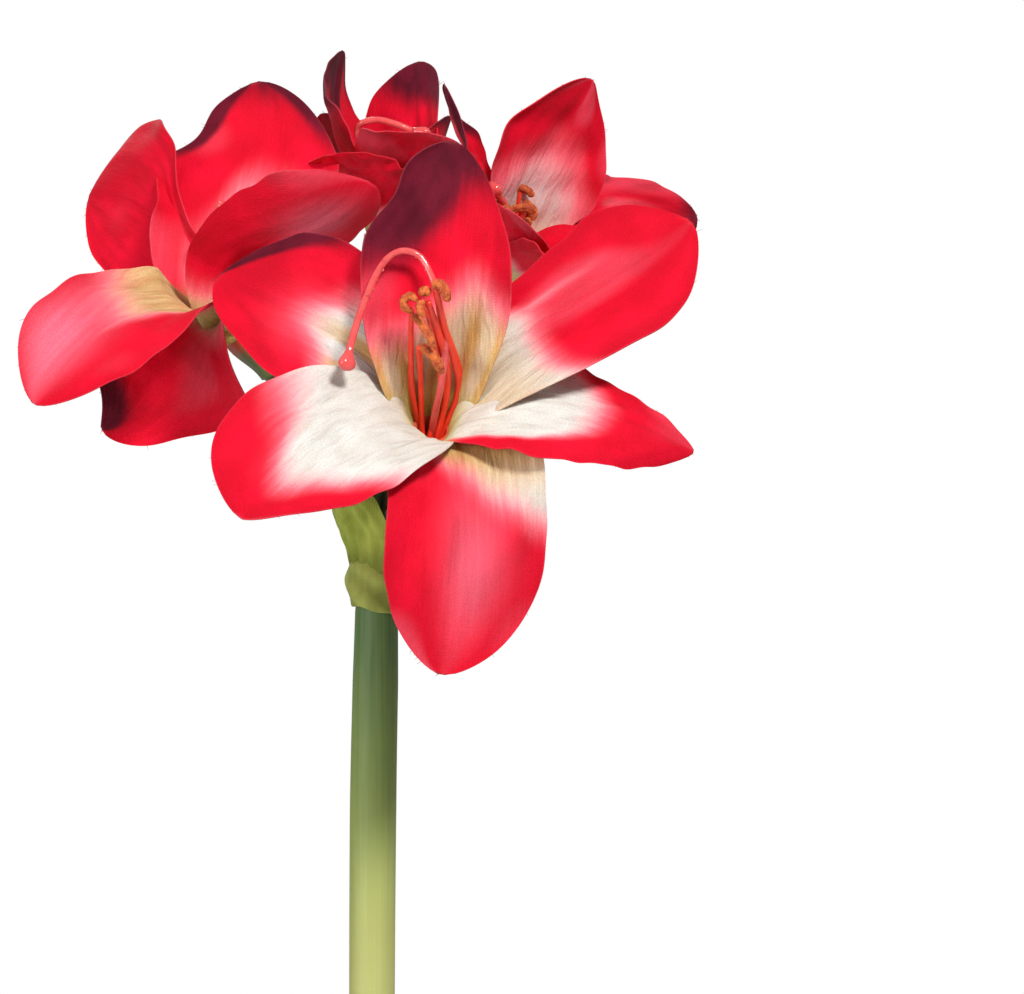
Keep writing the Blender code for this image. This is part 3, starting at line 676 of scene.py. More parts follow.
def anther_material():
    paint = Paint("anther_pollen")
    place = paint.place()
    grains = paint.noise(place, 1500.0, 4.0, 0.7)
    colour = paint.layered(
        (0.34, 0.040, 0.012),
        (paint.noise(place, 380.0, 2.0), 0.35, 0.65, 1.0, (0.60, 0.130, 0.026)),
        (grains, 0.5, 0.72, 0.7, (0.72, 0.25, 0.05)),
    )
    return paint.finished(
        Base_Color=colour, Roughness=0.85, Normal=paint.bump(grains, 0.0005, 0.9)
    )


def style_material():
    paint = Paint("style_clear_pink")
    place = paint.place()
    tone = paint.noise(place, 240.0, 3.0)
    return paint.finished(
        Base_Color=paint.mix(tone, (0.72, 0.045, 0.055), (0.90, 0.17, 0.16)),
        Roughness=0.13,
        IOR=1.46,
        Transmission_Weight=0.30,
        Subsurface_Weight=0.35,
        Subsurface_Scale=0.003,
        Subsurface_Radius=(1.0, 0.35, 0.3),
        Coat_Weight=0.4,
        Coat_Roughness=0.06,
        Normal=paint.bump(paint.noise(place, 420.0, 2.0), 0.0006, 0.25),
    )


def floral_tube_material():
    """Green at the foot and red at the throat."""
    paint = Paint("floral_tube")
    streaks = paint.noise(paint.place(), (700.0, 700.0, 90.0), 3.0)
    edge = paint.drift(paint.masks("paint")[0], streaks, 0.5)
    colour = paint.layered((0.10, 0.15, 0.035), (edge, 0.2, 0.9, 1.0, (0.55, 0.10, 0.045)))
    return paint.finished(
        Base_Color=colour, Roughness=0.5, Normal=paint.bump(streaks, 0.0005, 0.3)
    )


def stalk_material():
    """Dark green at the top, through olive, to pale yellow at the foot."""
    paint = Paint("scape_skin")
    place = paint.place()
    blotch = paint.noise(place, (60.0, 60.0, 14.0), 3.0)
    lines = paint.noise(place, (900.0, 900.0, 18.0), 3.0)
    level = paint.drift(paint.height(place), blotch, 0.05)
    colour = paint.layered(
        (0.45, 0.46, 0.19),
        (level, 0.150, 0.290, 1.0, (0.33, 0.34, 0.11)),
        (level, 0.265, 0.350, 1.0, (0.19, 0.25, 0.066)),
        (level, 0.325, 0.405, 1.0, (0.062, 0.122, 0.038)),
        (lines, 0.30, 0.75, 0.08, (0.55, 0.60, 0.25)),
    )
    return paint.finished(
        Base_Color=colour,
        Roughness=paint.step(blotch, 0.3, 0.7, 0.42, 0.55),
        Specular_IOR_Level=0.28,
        Subsurface_Weight=0.12,
        Subsurface_Scale=0.004,
        Subsurface_Radius=(0.5, 1.0, 0.25),
        Normal=paint.bump(lines, 0.0004, 0.08),
    )


def pedicel_material():
    paint = Paint("pedicel_skin")
    place = paint.place()
    speck = paint.noise(place, 500.0, 3.0)
    green = paint.mix(paint.noise(place, 70.0, 3.0), (0.018, 0.055, 0.028), (0.055, 0.115, 0.045))
    colour = paint.layered(green, (speck, 0.62, 0.8, 0.35, (0.20, 0.27, 0.10)))
    return paint.finished(
        Base_Color=colour, Roughness=0.42, Normal=paint.bump(speck, 0.0003, 0.25)
    )


def spathe_material():
    """Yellow-green cloth, tan and brown towards the bracts' edges, with painted shade in the
    creases.
    """
    paint = Paint("spathe_cloth")
    tan, brown, crease_shade, _ = paint.masks("paint")
    cloth = paint.cloth()
    threads = paint.weave(cloth, 45)
    blotch = paint.noise(cloth, (120.0, 60.0, 1.0), 3.0)
    fibres = paint.noise(cloth, (1600.0, 200.0, 1.0), 3.0)
    green = paint.layered(
        (0.15, 0.19, 0.014),
        (blotch, 0.3, 0.7, 1.0, (0.30, 0.35, 0.052)),
        (threads, 0.5, 1.0, 0.25, (0.38, 0.42, 0.12)),
    )
    colour = paint.mix(paint.math("MULTIPLY", tan, 0.8), green, (0.55, 0.47, 0.24))
    uneven = paint.math("MULTIPLY", paint.math("SUBTRACT", blotch, 0.5), 0.6)
    uneven = paint.math("MULTIPLY", uneven, paint.step(brown, 0.0, 0.2))
    shade = paint.math("ADD", brown, uneven)
    colour = paint.layered(colour, (shade, 0.2, 0.9, 0.75, (0.36, 0.14, 0.055)))
    # Painted shade in the creases.
    colour = paint.mix(paint.math("MULTIPLY", crease_shade, 0.6), colour, (0.075, 0.090, 0.008))
    relief = paint.math("ADD", threads, paint.math("MULTIPLY", fibres, 0.5))
    return paint.finished(
        Base_Color=colour,
        Roughness=0.72,
        Specular_IOR_Level=0.2,
        Sheen_Weight=0.04,
        Sheen_Roughness=0.5,
        Normal=paint.bump(relief, 0.00015, 0.6),
    )


def bulb_material():
    paint = Paint("bulb_skin")
    place = paint.place()
    veins = paint.noise(place, (420.0, 420.0, 22.0), 5.0)
    blotch = paint.noise(place, 55.0, 4.0)
    level = paint.drift(paint.height(place), veins, 0.03)
    colour = paint.layered(
        (0.17, 0.065, 0.022),
        (veins, 0.30, 0.70, 1.0, (0.42, 0.21, 0.085)),
        (blotch, 0.50, 0.72, 0.55, (0.55, 0.36, 0.18)),
        (level, 0.138, 0.162, 0.85, (0.42, 0.44, 0.16)),
    )
    return paint.finished(
        Base_Color=colour,
        Roughness=paint.step(blotch, 0.3, 0.7, 0.40, 0.62),
        Normal=paint.bump(veins, 0.0012, 0.55),
    )


def soil_material():
    paint = Paint("soil_crumb")
    place = paint.place()
    fine = paint.noise(place, 900.0, 5.0, 0.7)
    colour = paint.layered(
        (0.018, 0.011, 0.007),
        (paint.noise(place, 160.0, 4.0, 0.6), 0.35, 0.65, 1.0, (0.075, 0.045, 0.026)),
        (fine, 0.62, 0.72, 0.6, (0.16, 0.10, 0.06)),
    )
    return paint.finished(
        Base_Color=colour, Roughness=0.95, Normal=paint.bump(fine, 0.0012, 0.8)
    )


def clay_material():
    """Clouded clay with light and dark grains, faint turning rings and a pale tide at the foot."""
    paint = Paint("terracotta")
    place = paint.place()
    cloud = paint.noise(place, (22.0, 22.0, 34.0), 5.0)
    grain = paint.noise(place, 1100.0, 3.0, 0.65)
    ring = paint.noise(place, (8.0, 8.0, 420.0), 3.0)
    colour = paint.layered(
        (0.40, 0.125, 0.055),
        (cloud, 0.30, 0.72, 1.0, (0.56, 0.215, 0.105)),
        (grain, 0.60, 0.74, 0.45, (0.68, 0.36, 0.22)),
        (grain, 0.42, 0.30, 0.35, (0.22, 0.07, 0.035)),
    )
    tide = paint.step(paint.drift(paint.height(place), cloud, 0.09), 0.040, 0.012)
    salts = paint.math("MULTIPLY", tide, paint.step(grain, 0.40, 0.60))
    return paint.finished(
        Base_Color=paint.mix(paint.math("MULTIPLY", salts, 0.45), colour, (0.66, 0.52, 0.42)),
        Roughness=paint.step(cloud, 0.3, 0.7, 0.78, 0.92),
        Normal=paint.bump(grain, 0.0003, 0.5, paint.bump(ring, 0.0006, 0.35)),
    )


def floor_material():
    """White, and clear towards its rim."""
    paint = Paint("studio_floor")
    place = paint.place()
    away = paint.add("ShaderNodeVectorMath", {0: place}, operation="LENGTH").outputs["Value"]
    return paint.finished(
        Base_Color=paint.mix(paint.noise(place, 3.0, 2.0), (0.86, 0.86, 0.85), (0.90, 0.90, 0.89)),
        Roughness=0.8,
        Alpha=paint.step(away, *FLOOR_FADES),
    )


# Blades


def through(values, u):
    """A curve through three values, at the root, the middle and the tip."""
    first, middle, last = values
    return first * (1 - u) * (1 - 2 * u) + middle * 4 * u * (1 - u) + last * u * (2 * u - 1)


def blend(place, centres, values, reach):
    """A smooth run through the values at their centres."""
    total = weights = 0.0
    for centre, value in zip(centres, values):
        weight = np.exp(-(((place - centre) / reach) ** 2))
        total = total + weight * value
        weights = weights + weight
    return total / weights


def blade_width(u, root, widest, point):
    low = 1 - (1 - root) * (np.maximum(widest - u, 0) / widest) ** 1.8
    high = 0.04 + 0.96 * (1 - np.clip((u - widest) / (1 - widest), 0, 1) ** 2) ** point
    return np.where(u < widest, low, high)


def blade_spine(spec, root_radius, u):
    """The blade's middle line, and all along it the directions across and out of its face."""
    turn = radians(spec["turn"])
    axis = np.array((0.0, 0.0, 1.0))
    outward = np.array((sin(turn), cos(turn), 0.0))
    round_axis = np.array((cos(turn), -sin(turn), 0.0))
    flare = np.radians(through(spec["flare"], u))[:, None]
    sweep = np.radians(spec["sweep"] * u**1.5)[:, None]
    direction = np.cos(sweep) * (np.cos(flare) * axis + np.sin(flare) * outward)
    direction = direction + np.sin(sweep) * round_axis
    steps = np.vstack([outward * root_radius, direction[:-1] * spec["length"] / ROWS])
    spine = np.cumsum(steps, axis=0) - axis * (ROOT_SUNK * np.maximum(0, 1 - u * CAD_ROWS))[:, None]
    across = round_axis - (direction @ round_axis)[:, None] * direction
    across /= np.linalg.norm(across, axis=1, keepdims=True)
    face = np.cross(across, direction)
    roll = np.radians((spec["roll"] + spec["twist"] * u) * np.minimum(1, 4 * u))[:, None]
    rolled = np.cos(roll) * across + np.sin(roll) * face
    return spine, rolled, np.cos(roll) * face - np.sin(roll) * across


def blade_section(spec, u, v, seed):
    """How far each point of the blade is to the side of the spine, and how far out of its face."""
    half = spec["width"] / 2 * blade_width(u, spec["root"], spec["widest"], spec["point"])
    notch = spec["notch"] * np.exp(-(((u - NOTCH_AT) / NOTCH_LENGTH) ** 2))
    low, high = (blend(u, STATIONS, spec[side], STATION_REACH) for side in ("low", "high"))
    half = half * np.where(v < 0, low * (1 - notch), high)
    half = half * (1 + CUT_UNEVEN * ripple(seed, 14 * u, np.sign(v) * 3))
    curl = np.where(v > 0, spec["far_curl"], 0)
    bend = np.radians(through(spec["cup"], u) + curl * np.minimum(1, 2 * u))
    bend = np.where(np.abs(bend) < FLATTEST, FLATTEST, bend)
    sideways = half * np.sin(bend * v) / bend
    lift = half * (1 - np.cos(bend * v)) / bend
    fold = radians(spec["fold"]) * np.sin(pi * u) ** 0.6
    lift = lift + ((sideways**2 + KEEL_RADIUS**2) ** 0.5 - KEEL_RADIUS) * np.sin(fold)
    phase = np.where(v < 0, 0.0, 0.5)
    wave = spec["wave"] * np.abs(v) ** 2.2 * np.sin(pi * u) ** 0.5
    lift = lift + wave * np.sin(2 * pi * (1.3 * u + phase))
    return sideways, lift + blade_relief(spec, u, v, sideways, seed)


def blade_relief(spec, u, v, sideways, seed):
    """Soft crumples, a pressed midrib, veins that fan out from the throat and a ruffled edge."""
    bell = np.sin(pi * np.clip(u, 0, 1))
    crumple = 0.0010 * ripple(seed + 1, 9 * u, 5 * v) + 0.0006 * ripple(seed + 4, 20 * u, 11 * v)
    midrib = -0.0008 * np.exp(-((sideways / 0.0016) ** 2))
    midrib = midrib * smooth(0.02, 0.2, u) * smooth(1.0, 0.7, u)
    fade = smooth(0.03, 0.15, u) * smooth(0.95, 0.35, u)
    veins = np.sin(15 * v + 1.3 * ripple(seed + 2, 5 * u, v))
    veins = veins + 0.5 * np.sin(27 * v + ripple(seed + 7, 8 * u, v))
    veins = veins * 0.00030 * (0.5 + spec["ribs"]) * fade
    veins = veins * (0.6 + 0.4 * ripple(seed + 8, 9 * u, 3 * v))
    gather = spec["gather"] * smooth(0.34, 0.07, u) * smooth(0.0, 0.06, u)
    gather = gather * np.sin(17 * v + 2 * ripple(seed + 11, 4 * u, v))
    ruffle = 0.0011 * np.abs(v) ** 4 * ripple(seed + 3, 24 * u, 2 * v) * bell
    return crumple * bell + midrib + (veins + gather) * (1 - np.abs(v) ** 3) + ruffle


def blade_grid(spec, root_radius, seed):
    """The blade's middle sheet as points, with their u, their v and their place on the cloth."""
    u = np.linspace(0, 1, ROWS + 1)
    v = np.sin(np.linspace(-pi / 2, pi / 2, COLUMNS + 1))
    spine, across, face = blade_spine(spec, root_radius, u)
    u, v = np.meshgrid(u, v, indexing="ij")
    sideways, lift = blade_section(spec, u, v, seed)
    grid = spine[:, None] + across[:, None] * sideways[..., None] + face[:, None] * lift[..., None]
    return grid, u, v, np.stack([sideways, u * spec["length"]], axis=2)


def border(v, heights):
    """A smooth border up the blade, from its heights at PLACES_ACROSS."""
    return blend(v, PLACES_ACROSS, heights, BORDER_REACH)


def petal_masks(spec, u, v, seed):
    """Where the blade is cream, purple, green or at a cut edge; its tan, partly painted shade; its
    pale pink painted sheen; and the painted shade that darkens its red towards the edges.
    """
    soft = spec["soft"] / 2
    wander = 0.03 * ripple(seed + 5, 5 * u, 3 * v)
    cream = smooth(-soft, soft, border(v, spec["cream"]) + wander - u) * spec["most"]
    if spec["streak"]:
        middle, half, low, high, strength = spec["streak"]
        line = np.exp(-(((v - middle) / half) ** 2))
        line = line * smooth(low, low + 0.1, u) * smooth(high, low + 0.1, u)
        cream = np.maximum(cream, strength * line)
    dark = smooth(-0.15, 0.15, u - wander - border(v, spec["dark"]))
    green = smooth(0.17, 0.03, u) * 0.8
    outmost = np.maximum(np.abs(v), u)
    edge = smooth(0.985, 1.0, outmost)
    # Tan towards the throat: partly the cloth's gold, partly painted shade.
    top = spec["tan_top"]
    # Painted shadow: the tan broken by lines running up the blade, standing for the filaments'
    # shadows and the valleys between ribs.
    shadow_bands = smooth(-0.5, 0.7, np.sin(13 * v + 1.5 + 0.5 * ripple(seed + 13, 4 * u, v)))
    tan = smooth(top, top * 0.45, u) * spec["tan"] * (1 - spec["stripes"] * (1 - shadow_bands))
    # Painted sheen: faint pink patches all over, and the blade's own brighter spot.
    pink = 0.16 * smooth(0.2, 1.0, ripple(seed + 6, 6 * u, 2.5 * v))
    if spec["wash"]:
        high, middle, length, width, strength = spec["wash"]
        wash = np.exp(-(((u - high) / length) ** 2) - ((v - middle) / width) ** 2)
        pink = np.maximum(pink, strength * wash)
    # Painted shade: darker red towards the edges, with random darker patches on top.
    deep_shade = smooth(0.45, 1.0, outmost) * (0.8 + 0.3 * ripple(seed + 9, 7 * u, 4 * v))
    deep_shade = np.clip(deep_shade + 0.5 * smooth(0.0, 1.2, ripple(seed + 12, 9 * u, 3.5 * v)), 0, 1)
    return {
        "paint": np.stack([cream, dark, green, edge], axis=2),
        "wash": np.stack([tan, pink, deep_shade, np.ones_like(u)], axis=2),
    }


def loose_threads(grid, material, seed):
    """Short threads that stand out of the cut edge near the blade's tip."""
    draw = np.random.default_rng(seed + 20)
    along = Vector(grid[-1, COLUMNS // 2] - grid[-3, COLUMNS // 2]).normalized()
    radii = np.linspace(LOOSE_THREAD_ROOT, LOOSE_THREAD_TIP, 4)
    made = []
    for _ in range(LOOSE_THREADS):
        row = round(ROWS * (1 - 0.3 * draw.random() ** 2))
        end, inner = (COLUMNS, COLUMNS - 6) if draw.random() < 0.5 else (0, 6)
        at = Vector(grid[row, end])
        out = Vector(grid[row, end] - grid[row, inner]).normalized()
        out = (out + along * draw.uniform(0.2, 1.5)).normalized()
        bend = Vector(draw.normal(0, 0.4, 3))
        reach = draw.uniform(0.0005, 0.0016)
        line = [at - out * 0.0002 + (out * t + bend * t * t) * reach for t in (0, 0.33, 0.66, 1)]
        made.append(tube_object("thread", line, radii, material, 5))
    return made


def make_tepal(name, spec, root_radius, material, seed):
    grid, u, v, uv = blade_grid(spec, root_radius, seed)
    thickness = TEPAL_THICKNESS * (1.3 - 0.5 * np.linspace(0, 1, ROWS + 1))
    sheet = sheet_object(name, grid, thickness, material, uv, petal_masks(spec, u, v, seed))
    return joined([sheet, *loose_threads(grid, material, seed)], name)


# Stamens, style and floral tube


def metres(points):
    return [Vector(point) / 1000 for point in points]


def stamen_angle(i):
    return radians(STAMEN_FIRST + (360 - 2 * STAMEN_FIRST) * i / (STAMENS - 1))


def stamen_route(i, bloom):
    angle = stamen_angle(i)
    root = Vector((sin(angle), cos(angle), 0.0)) * STAMEN_CIRCLE
    root.z = GAP - TUBE_DEPTH
    if "filaments" in bloom:
        return curve_through([root, *metres(bloom["filaments"][i])], STAMEN_POINTS)
    side, up, spread = bloom["stamen_reach"]
    reach = Vector((side + spread * sin(angle), up + spread * cos(angle), 0.0))
    length = (bloom["stamen_length"] + TUBE_DEPTH) * (1 - 0.08 * (i % 3))
    steps = [j / (STAMEN_POINTS - 1) for j in range(STAMEN_POINTS)]
    return [root + Vector((0, 0, length * t)) + reach * t**1.8 for t in steps]


def make_filaments(name, bloom, material):
    last = STAMEN_POINTS - 1
    radii = [FILAMENT_RADIUS * (1.06 - 0.26 * j / last) for j in range(STAMEN_POINTS)]

    def flattened(t, angles):
        return 1 - 0.16 * np.cos(2 * angles + 2 * t)

    made = [
        tube_object("filament", stamen_route(i, bloom), radii, material, 16, flattened)
        for i in range(STAMENS)
    ]
    return joined(made, "filaments_" + name)


def anther_line(i, bloom):
    """The anther's middle line: as traced where the bloom has it, or else curled round the tip."""
    if "anthers" in bloom:
        return curve_through(metres(bloom["anthers"][i]), STAMEN_POINTS)
    line = stamen_route(i, bloom)
    direction = (line[-1] - line[-2]).normalized()
    angle = stamen_angle(i)
    across = Vector((cos(angle), -sin(angle), 0.0))
    across = (across - across.dot(direction) * direction).normalized()
    half = radians(60 + 25 * (i % 3))
    radius = bloom["anther_length"] / (2 * half)
    turns = [half * (2 * j / (STAMEN_POINTS - 1) - 1) for j in range(STAMEN_POINTS)]
    return [line[-1] + across * radius * sin(t) - direction * radius * (1 - cos(t)) for t in turns]


def make_anthers(name, bloom, material, seed):
    """Lumpy, grooved anthers."""
    shares = np.linspace(-1, 1, STAMEN_POINTS)
    made = []
    for i in range(STAMENS):
        radii = ANTHER_RADIUS * (0.85 + 0.15 * sin(2 * i)) * (1 - shares**4) ** 0.5 + 0.0001

        def lumps(t, angles, i=i):
            rough = 0.13 * ripple(seed + i, 24 * t, 2.0 * np.cos(angles), 7)
            fine = 0.07 * ripple(seed + 30 + i, 70 * t, 5.0 * np.sin(angles), 9)
            groove = -0.24 * np.exp(-(((angles - pi) / 0.45) ** 2))
            return 1 + rough + fine + groove

        made.append(tube_object("anther", anther_line(i, bloom), radii, material, 26, lumps))
    return joined(made, "anthers_" + name)


def make_style(name, bloom, material):
    """The style with its drop-shaped, three-lobed tip, and beads on it where the bloom has them."""
    line = curve_through([(0, 0, GAP - TUBE_DEPTH), *metres(bloom["style"])], STYLE_POINTS)
    last = STYLE_POINTS - 1
    radii = [STYLE_RADIUS * (1.05 - 0.15 * sin(pi * j / last)) for j in range(DROP_FROM)]
    direction = (line[-1] - line[-2]).normalized()
    neck = line[-1] - direction * DROP_NECK
    line = line[:DROP_FROM]
    if (line[-1] - neck).dot(direction) >= -DROP_CLEAR:
        line.pop()
        radii.pop()
    for step, share in DROP:
        line.append(neck + direction * step)
        radii.append(STYLE_RADIUS * share)

    def lobes(t, angles):
        return 1 + 0.13 * np.cos(3 * angles) * smooth(0.90, 0.98, t)

    made = [tube_object("style_" + name, line, radii, material, 30, lobes)]
    draw = np.random.default_rng(5)
    beads = bloom.get("beads", 0)
    for j in range(beads):
        at = line[int(40 + 42 * j / beads)]
        offset = Vector(draw.normal(0, 1, 3)).normalized() * STYLE_RADIUS
        made.append(bead(at + offset, 0.00025 + 0.0003 * draw.random(), material))
    return joined(made, "style_" + name) if beads else made[0]


def bead(at, radius, material):
    shape = bmesh.new()
    bmesh.ops.create_icosphere(shape, subdivisions=2, radius=radius, matrix=Matrix.Translation(at))
    return shape_object("bead", shape, material, soft=True)


def make_floral_tube(name, material):
    profile = [(0.0, -TUBE_DEPTH), (TUBE_BORE, -TUBE_DEPTH), (TUBE_BORE + 0.0002, -0.0005),
               (TUBE_BORE + 0.0010, 0.0), (TUBE_RADIUS - TUBE_LIP, 0.0), (TUBE_RADIUS, -TUBE_LIP)]
    taper = TUBE_RADIUS - TUBE_BASE_RADIUS + 0.0006
    for i in range(1, TUBE_STEPS + 1):
        t = i / TUBE_STEPS
        radius = TUBE_RADIUS - 0.0004 * t - taper * smooth(0.2, 0.95, t)
        profile.append((radius, -TUBE_LIP - (TUBE_LENGTH - TUBE_LIP) * t))
    profile.append((0.0, -TUBE_LENGTH))

    def ribs(angle, radius, height):
        outside = (height < -0.001) & (radius > TUBE_BORE + 0.0004)
        outside |= height < -TUBE_DEPTH - 0.0005
        return radius * (1 + np.where(outside, 0.05 * np.cos(6 * angle), 0.0)), height

    obj = lathe_object("floral_tube_" + name, profile, material, 72, ribs)
    height = np.array([v.co.z for v in obj.data.vertices])
    share = smooth(-TUBE_LENGTH * 0.75, 0.0, height)
    add_mask(obj.data, "paint", np.repeat(share[:, None], 4, axis=1))
    return obj


def bloom_frame(bloom):
    tilt = Matrix.Rotation(radians(90 - bloom["elevation"]), 4, "X")
    turn = Matrix.Rotation(radians(bloom["azimuth"]), 4, "Z")
    return Matrix.Translation(bloom["throat"]) @ turn @ tilt


def make_bloom(name, bloom, materials, seed):
    made = []
    for i, spec in enumerate(bloom["tepals"]):
        root = INNER_ROOT if i < INNER_TEPALS else OUTER_ROOT
        tepal = make_tepal(f"tepal_{name}_{i + 1}", spec, root, materials["petal"], seed + 10 * i)
        made.append((tepal, "tepal", "bloom_"))
    made += [
        (make_floral_tube(name, materials["tube"]), "tepal", "bloom_"),
        (make_filaments(name, bloom, materials["stamen"]), "stamen", "stamens_"),
        (make_anthers(name, bloom, materials["anther"], seed), "stamen", "stamens_"),
        (make_style(name, bloom, materials["style"]), "style", "style_"),
    ]
    for obj, slot, node in made:
        obj.data.transform(bloom_frame(bloom))
        obj.data.update()
        keep(obj, node + name)


# Stalks and spathe


def make_scape(material):
    line = curve_through(metres(point[:3] for point in SCAPE_LINE), SCAPE_POINTS)
    heights = [point[2] / 1000 for point in SCAPE_LINE]
    shares = [point[3] for point in SCAPE_LINE]
    radii = [SCAPE_RADIUS * np.interp(point.z, heights, shares) for point in line]

    def oval(t, angles):
        return 1 + 0.006 * np.cos(2 * angles + 1.2) + 0.004 * np.cos(5 * angles + 4 * t)

    return tube_object("scape_stalk", line, radii, material, 64, oval)


def pedicel_line(bloom):
    """From inside the scape's top to just inside the bloom's floral tube."""
    matrix = bloom_frame(bloom)
    top = Vector((SCAPE_LINE[-1][0] / 1000, 0.0, SCAPE_TOP))
    end = matrix @ Vector((0, 0, -TUBE_LENGTH - GAP))
    axis = matrix.to_3x3() @ Vector((0, 0, 1))
    aside = Vector((end.x - top.x, end.y - top.y, 0.0)).normalized()
    start = top + aside * PEDICEL_ASIDE - Vector((0, 0, PEDICEL_SUNK))
    leave = start + Vector((0, 0, bloom["rise"])) + aside * PEDICEL_SPREAD
    ends = (start, leave, end - axis * PEDICEL_ARRIVES, end - axis * PEDICEL_STRAIGHT_END)
    return [*bezier(ends, PEDICEL_POINTS), end, end + axis * PEDICEL_IN_TUBE]


def make_pedicel(name, bloom, material):
    line = pedicel_line(bloom)
    shares = np.linspace(0, 1, len(line))
    radii = PEDICEL_RADIUS * (1 - 0.05 * shares + 0.14 * np.exp(-(((shares - 0.55) / 0.05) ** 2)))

    def ribbed(t, angles):
        return 0.97 + 0.035 * np.cos(6 * angles + t)

    return tube_object("pedicel_" + name, line, radii, material, 36, ribbed)


def make_bract(i, spec, material):
    grid, u, v, uv = blade_grid(spec, BRACT_ROOT, 900 + i)
    grid = grid + np.array((COLLAR_CENTRE, 0.0, COLLAR_TOP - BRACT_SUNK))
    tan = smooth(0.25, 0.9, u) * 0.5
    brown = smooth(0.78, 1.0, np.maximum(np.abs(v) * smooth(0.15, 0.5, u), u)) * 0.9
    # Painted shade at the bract's root, where it leaves the collar.
    crease_shade = smooth(0.13, 0.03, u)
    edge = smooth(0.985, 1.0, np.maximum(np.abs(v), u))
    masks = {"paint": np.stack([tan, brown, crease_shade, edge], axis=2)}
    return sheet_object(f"bract_{i + 1}", grid, BRACT_THICKNESS, material, uv, masks)


def make_collar(material):
    """The cloth band wound a little more than once round the scape, with a slanting lower edge."""
    share = np.linspace(0, 1, COLLAR_COLUMNS + 1)
    t, s = np.meshgrid(share, np.linspace(0, 1, COLLAR_ROWS + 1))
    angle = radians(COLLAR_START) + 2 * pi * COLLAR_TURNS * t
    low = COLLAR_BASE + 0.0020 * (1 - np.cos(angle)) + 0.0003 * np.sin(5 * angle)
    height = low + (COLLAR_TOP + 0.0005 - low) * s
    bulge = np.sin(pi * np.clip(s * 1.02, 0, 1)) ** 0.7
    folds = 0.0007 * ripple(77, 2.2 * angle, 3.5 * s) + 0.0005 * np.sin(3 * angle + 9 * s)
    radius = COLLAR_RADIUS + COLLAR_BULGE * bulge * (0.85 + 0.15 * np.cos(angle - 2.6))
    radius = radius + COLLAR_LAP * smooth(0.86, 0.94, t) + folds * bulge
    x = COLLAR_CENTRE + radius * np.cos(angle)
    grid = np.stack([x, radius * np.sin(angle), height], axis=2)
    uv = np.stack([angle * COLLAR_CLOTH_RADIUS, height], axis=2)
    edge = np.maximum(smooth(0.95, 1.0, s), smooth(0.985, 1.0, t))
    # Painted shade in the collar's fold valleys and along its top edge.
    crease_shade = np.minimum(0.8 * smooth(0.0004, -0.0008, folds) + smooth(0.90, 1.0, s), 1)
    masks = {"paint": np.stack([np.full_like(s, 0.14), 0.4 * edge, crease_shade, edge], axis=2)}
    return sheet_object("collar_band", grid, COLLAR_THICKNESS, material, uv, masks)


# Pot, soil and bulb


def pot_radius(height):
    slope = (POT_TOP_RADIUS - RIM_STEP - POT_BASE_RADIUS) / POT_HEIGHT
    return POT_BASE_RADIUS + slope * height


def soil_wall_radius(height):
    return pot_radius(height) - POT_WALL


def rounded(points):
    """The profile with each inner corner turned into a short arc."""
    found = [points[0]]
    for before, corner, after in zip(points, points[1:], points[2:]):
        a, b, c = (np.array(p, float) for p in (before, corner, after))
        reach = min(POT_CORNER, np.linalg.norm(a - b) / 2.2, np.linalg.norm(c - b) / 2.2)
        start = b + (a - b) / np.linalg.norm(a - b) * reach
        end = b + (c - b) / np.linalg.norm(c - b) * reach
        for t in (0, 0.25, 0.5, 0.75, 1):
            found.append(tuple((1 - t) ** 2 * start + 2 * t * (1 - t) * b + t * t * end))
    return [*found, points[-1]]


def make_pot(material):
    below_rim = POT_HEIGHT - RIM_HEIGHT
    step_radius = pot_radius(below_rim)
    profile = [(0.0, POT_FLOOR), (soil_wall_radius(POT_FLOOR), POT_FLOOR),
               (soil_wall_radius(POT_HEIGHT), POT_HEIGHT), (POT_TOP_RADIUS, POT_HEIGHT),
               (step_radius + RIM_STEP, below_rim), (step_radius, below_rim)]
    profile += [(pot_radius(z), z) for z in np.linspace(below_rim - 0.004, 0.004, 24)]
    profile += [(POT_BASE_RADIUS, 0.0), (0.0, 0.0)]

    def thrown(angle, radius, height):
        turning = 0.00012 * np.sin(height * 1900) + 0.0002 * np.cos(2 * angle + 20 * height)
        free = (radius > 0.03) & (height > 0.006) & (height < POT_HEIGHT - 0.004)
        return radius + np.where(free, turning, 0.0), height

    pot = lathe_object("clay_pot", rounded(profile), material, 128, thrown)
    for i in range(DRAIN_HOLES):
        angle = 2 * pi * i / DRAIN_HOLES + pi / 6
        bpy.ops.mesh.primitive_cylinder_add(vertices=32, radius=DRAIN_RADIUS, depth=4 * POT_FLOOR)
        cutter = bpy.context.object
        cutter.location = (DRAIN_FROM_CENTRE * cos(angle), DRAIN_FROM_CENTRE * sin(angle), 0.0)
        cut = pot.modifiers.new("drain", "BOOLEAN")
        cut.operation = "DIFFERENCE"
        cut.object = cutter
        with bpy.context.temp_override(object=pot, active_object=pot):
            bpy.ops.object.modifier_apply(modifier=cut.name)
        bpy.data.objects.remove(cutter, do_unlink=True)
    return pot


def bulb_radius(height):
    if height < BULB_WAIST:
        drop = (BULB_WAIST - height) / (BULB_WAIST - BULB_BASE + 0.002)
        return BULB_RADIUS * (1 - drop**2) ** 0.5
    rise = min(1.0, (height - BULB_WAIST) / (NECK_BASE - BULB_WAIST))
    return NECK_RADIUS + (BULB_RADIUS - NECK_RADIUS) * (0.5 + 0.5 * cos(pi * rise)) ** 0.8


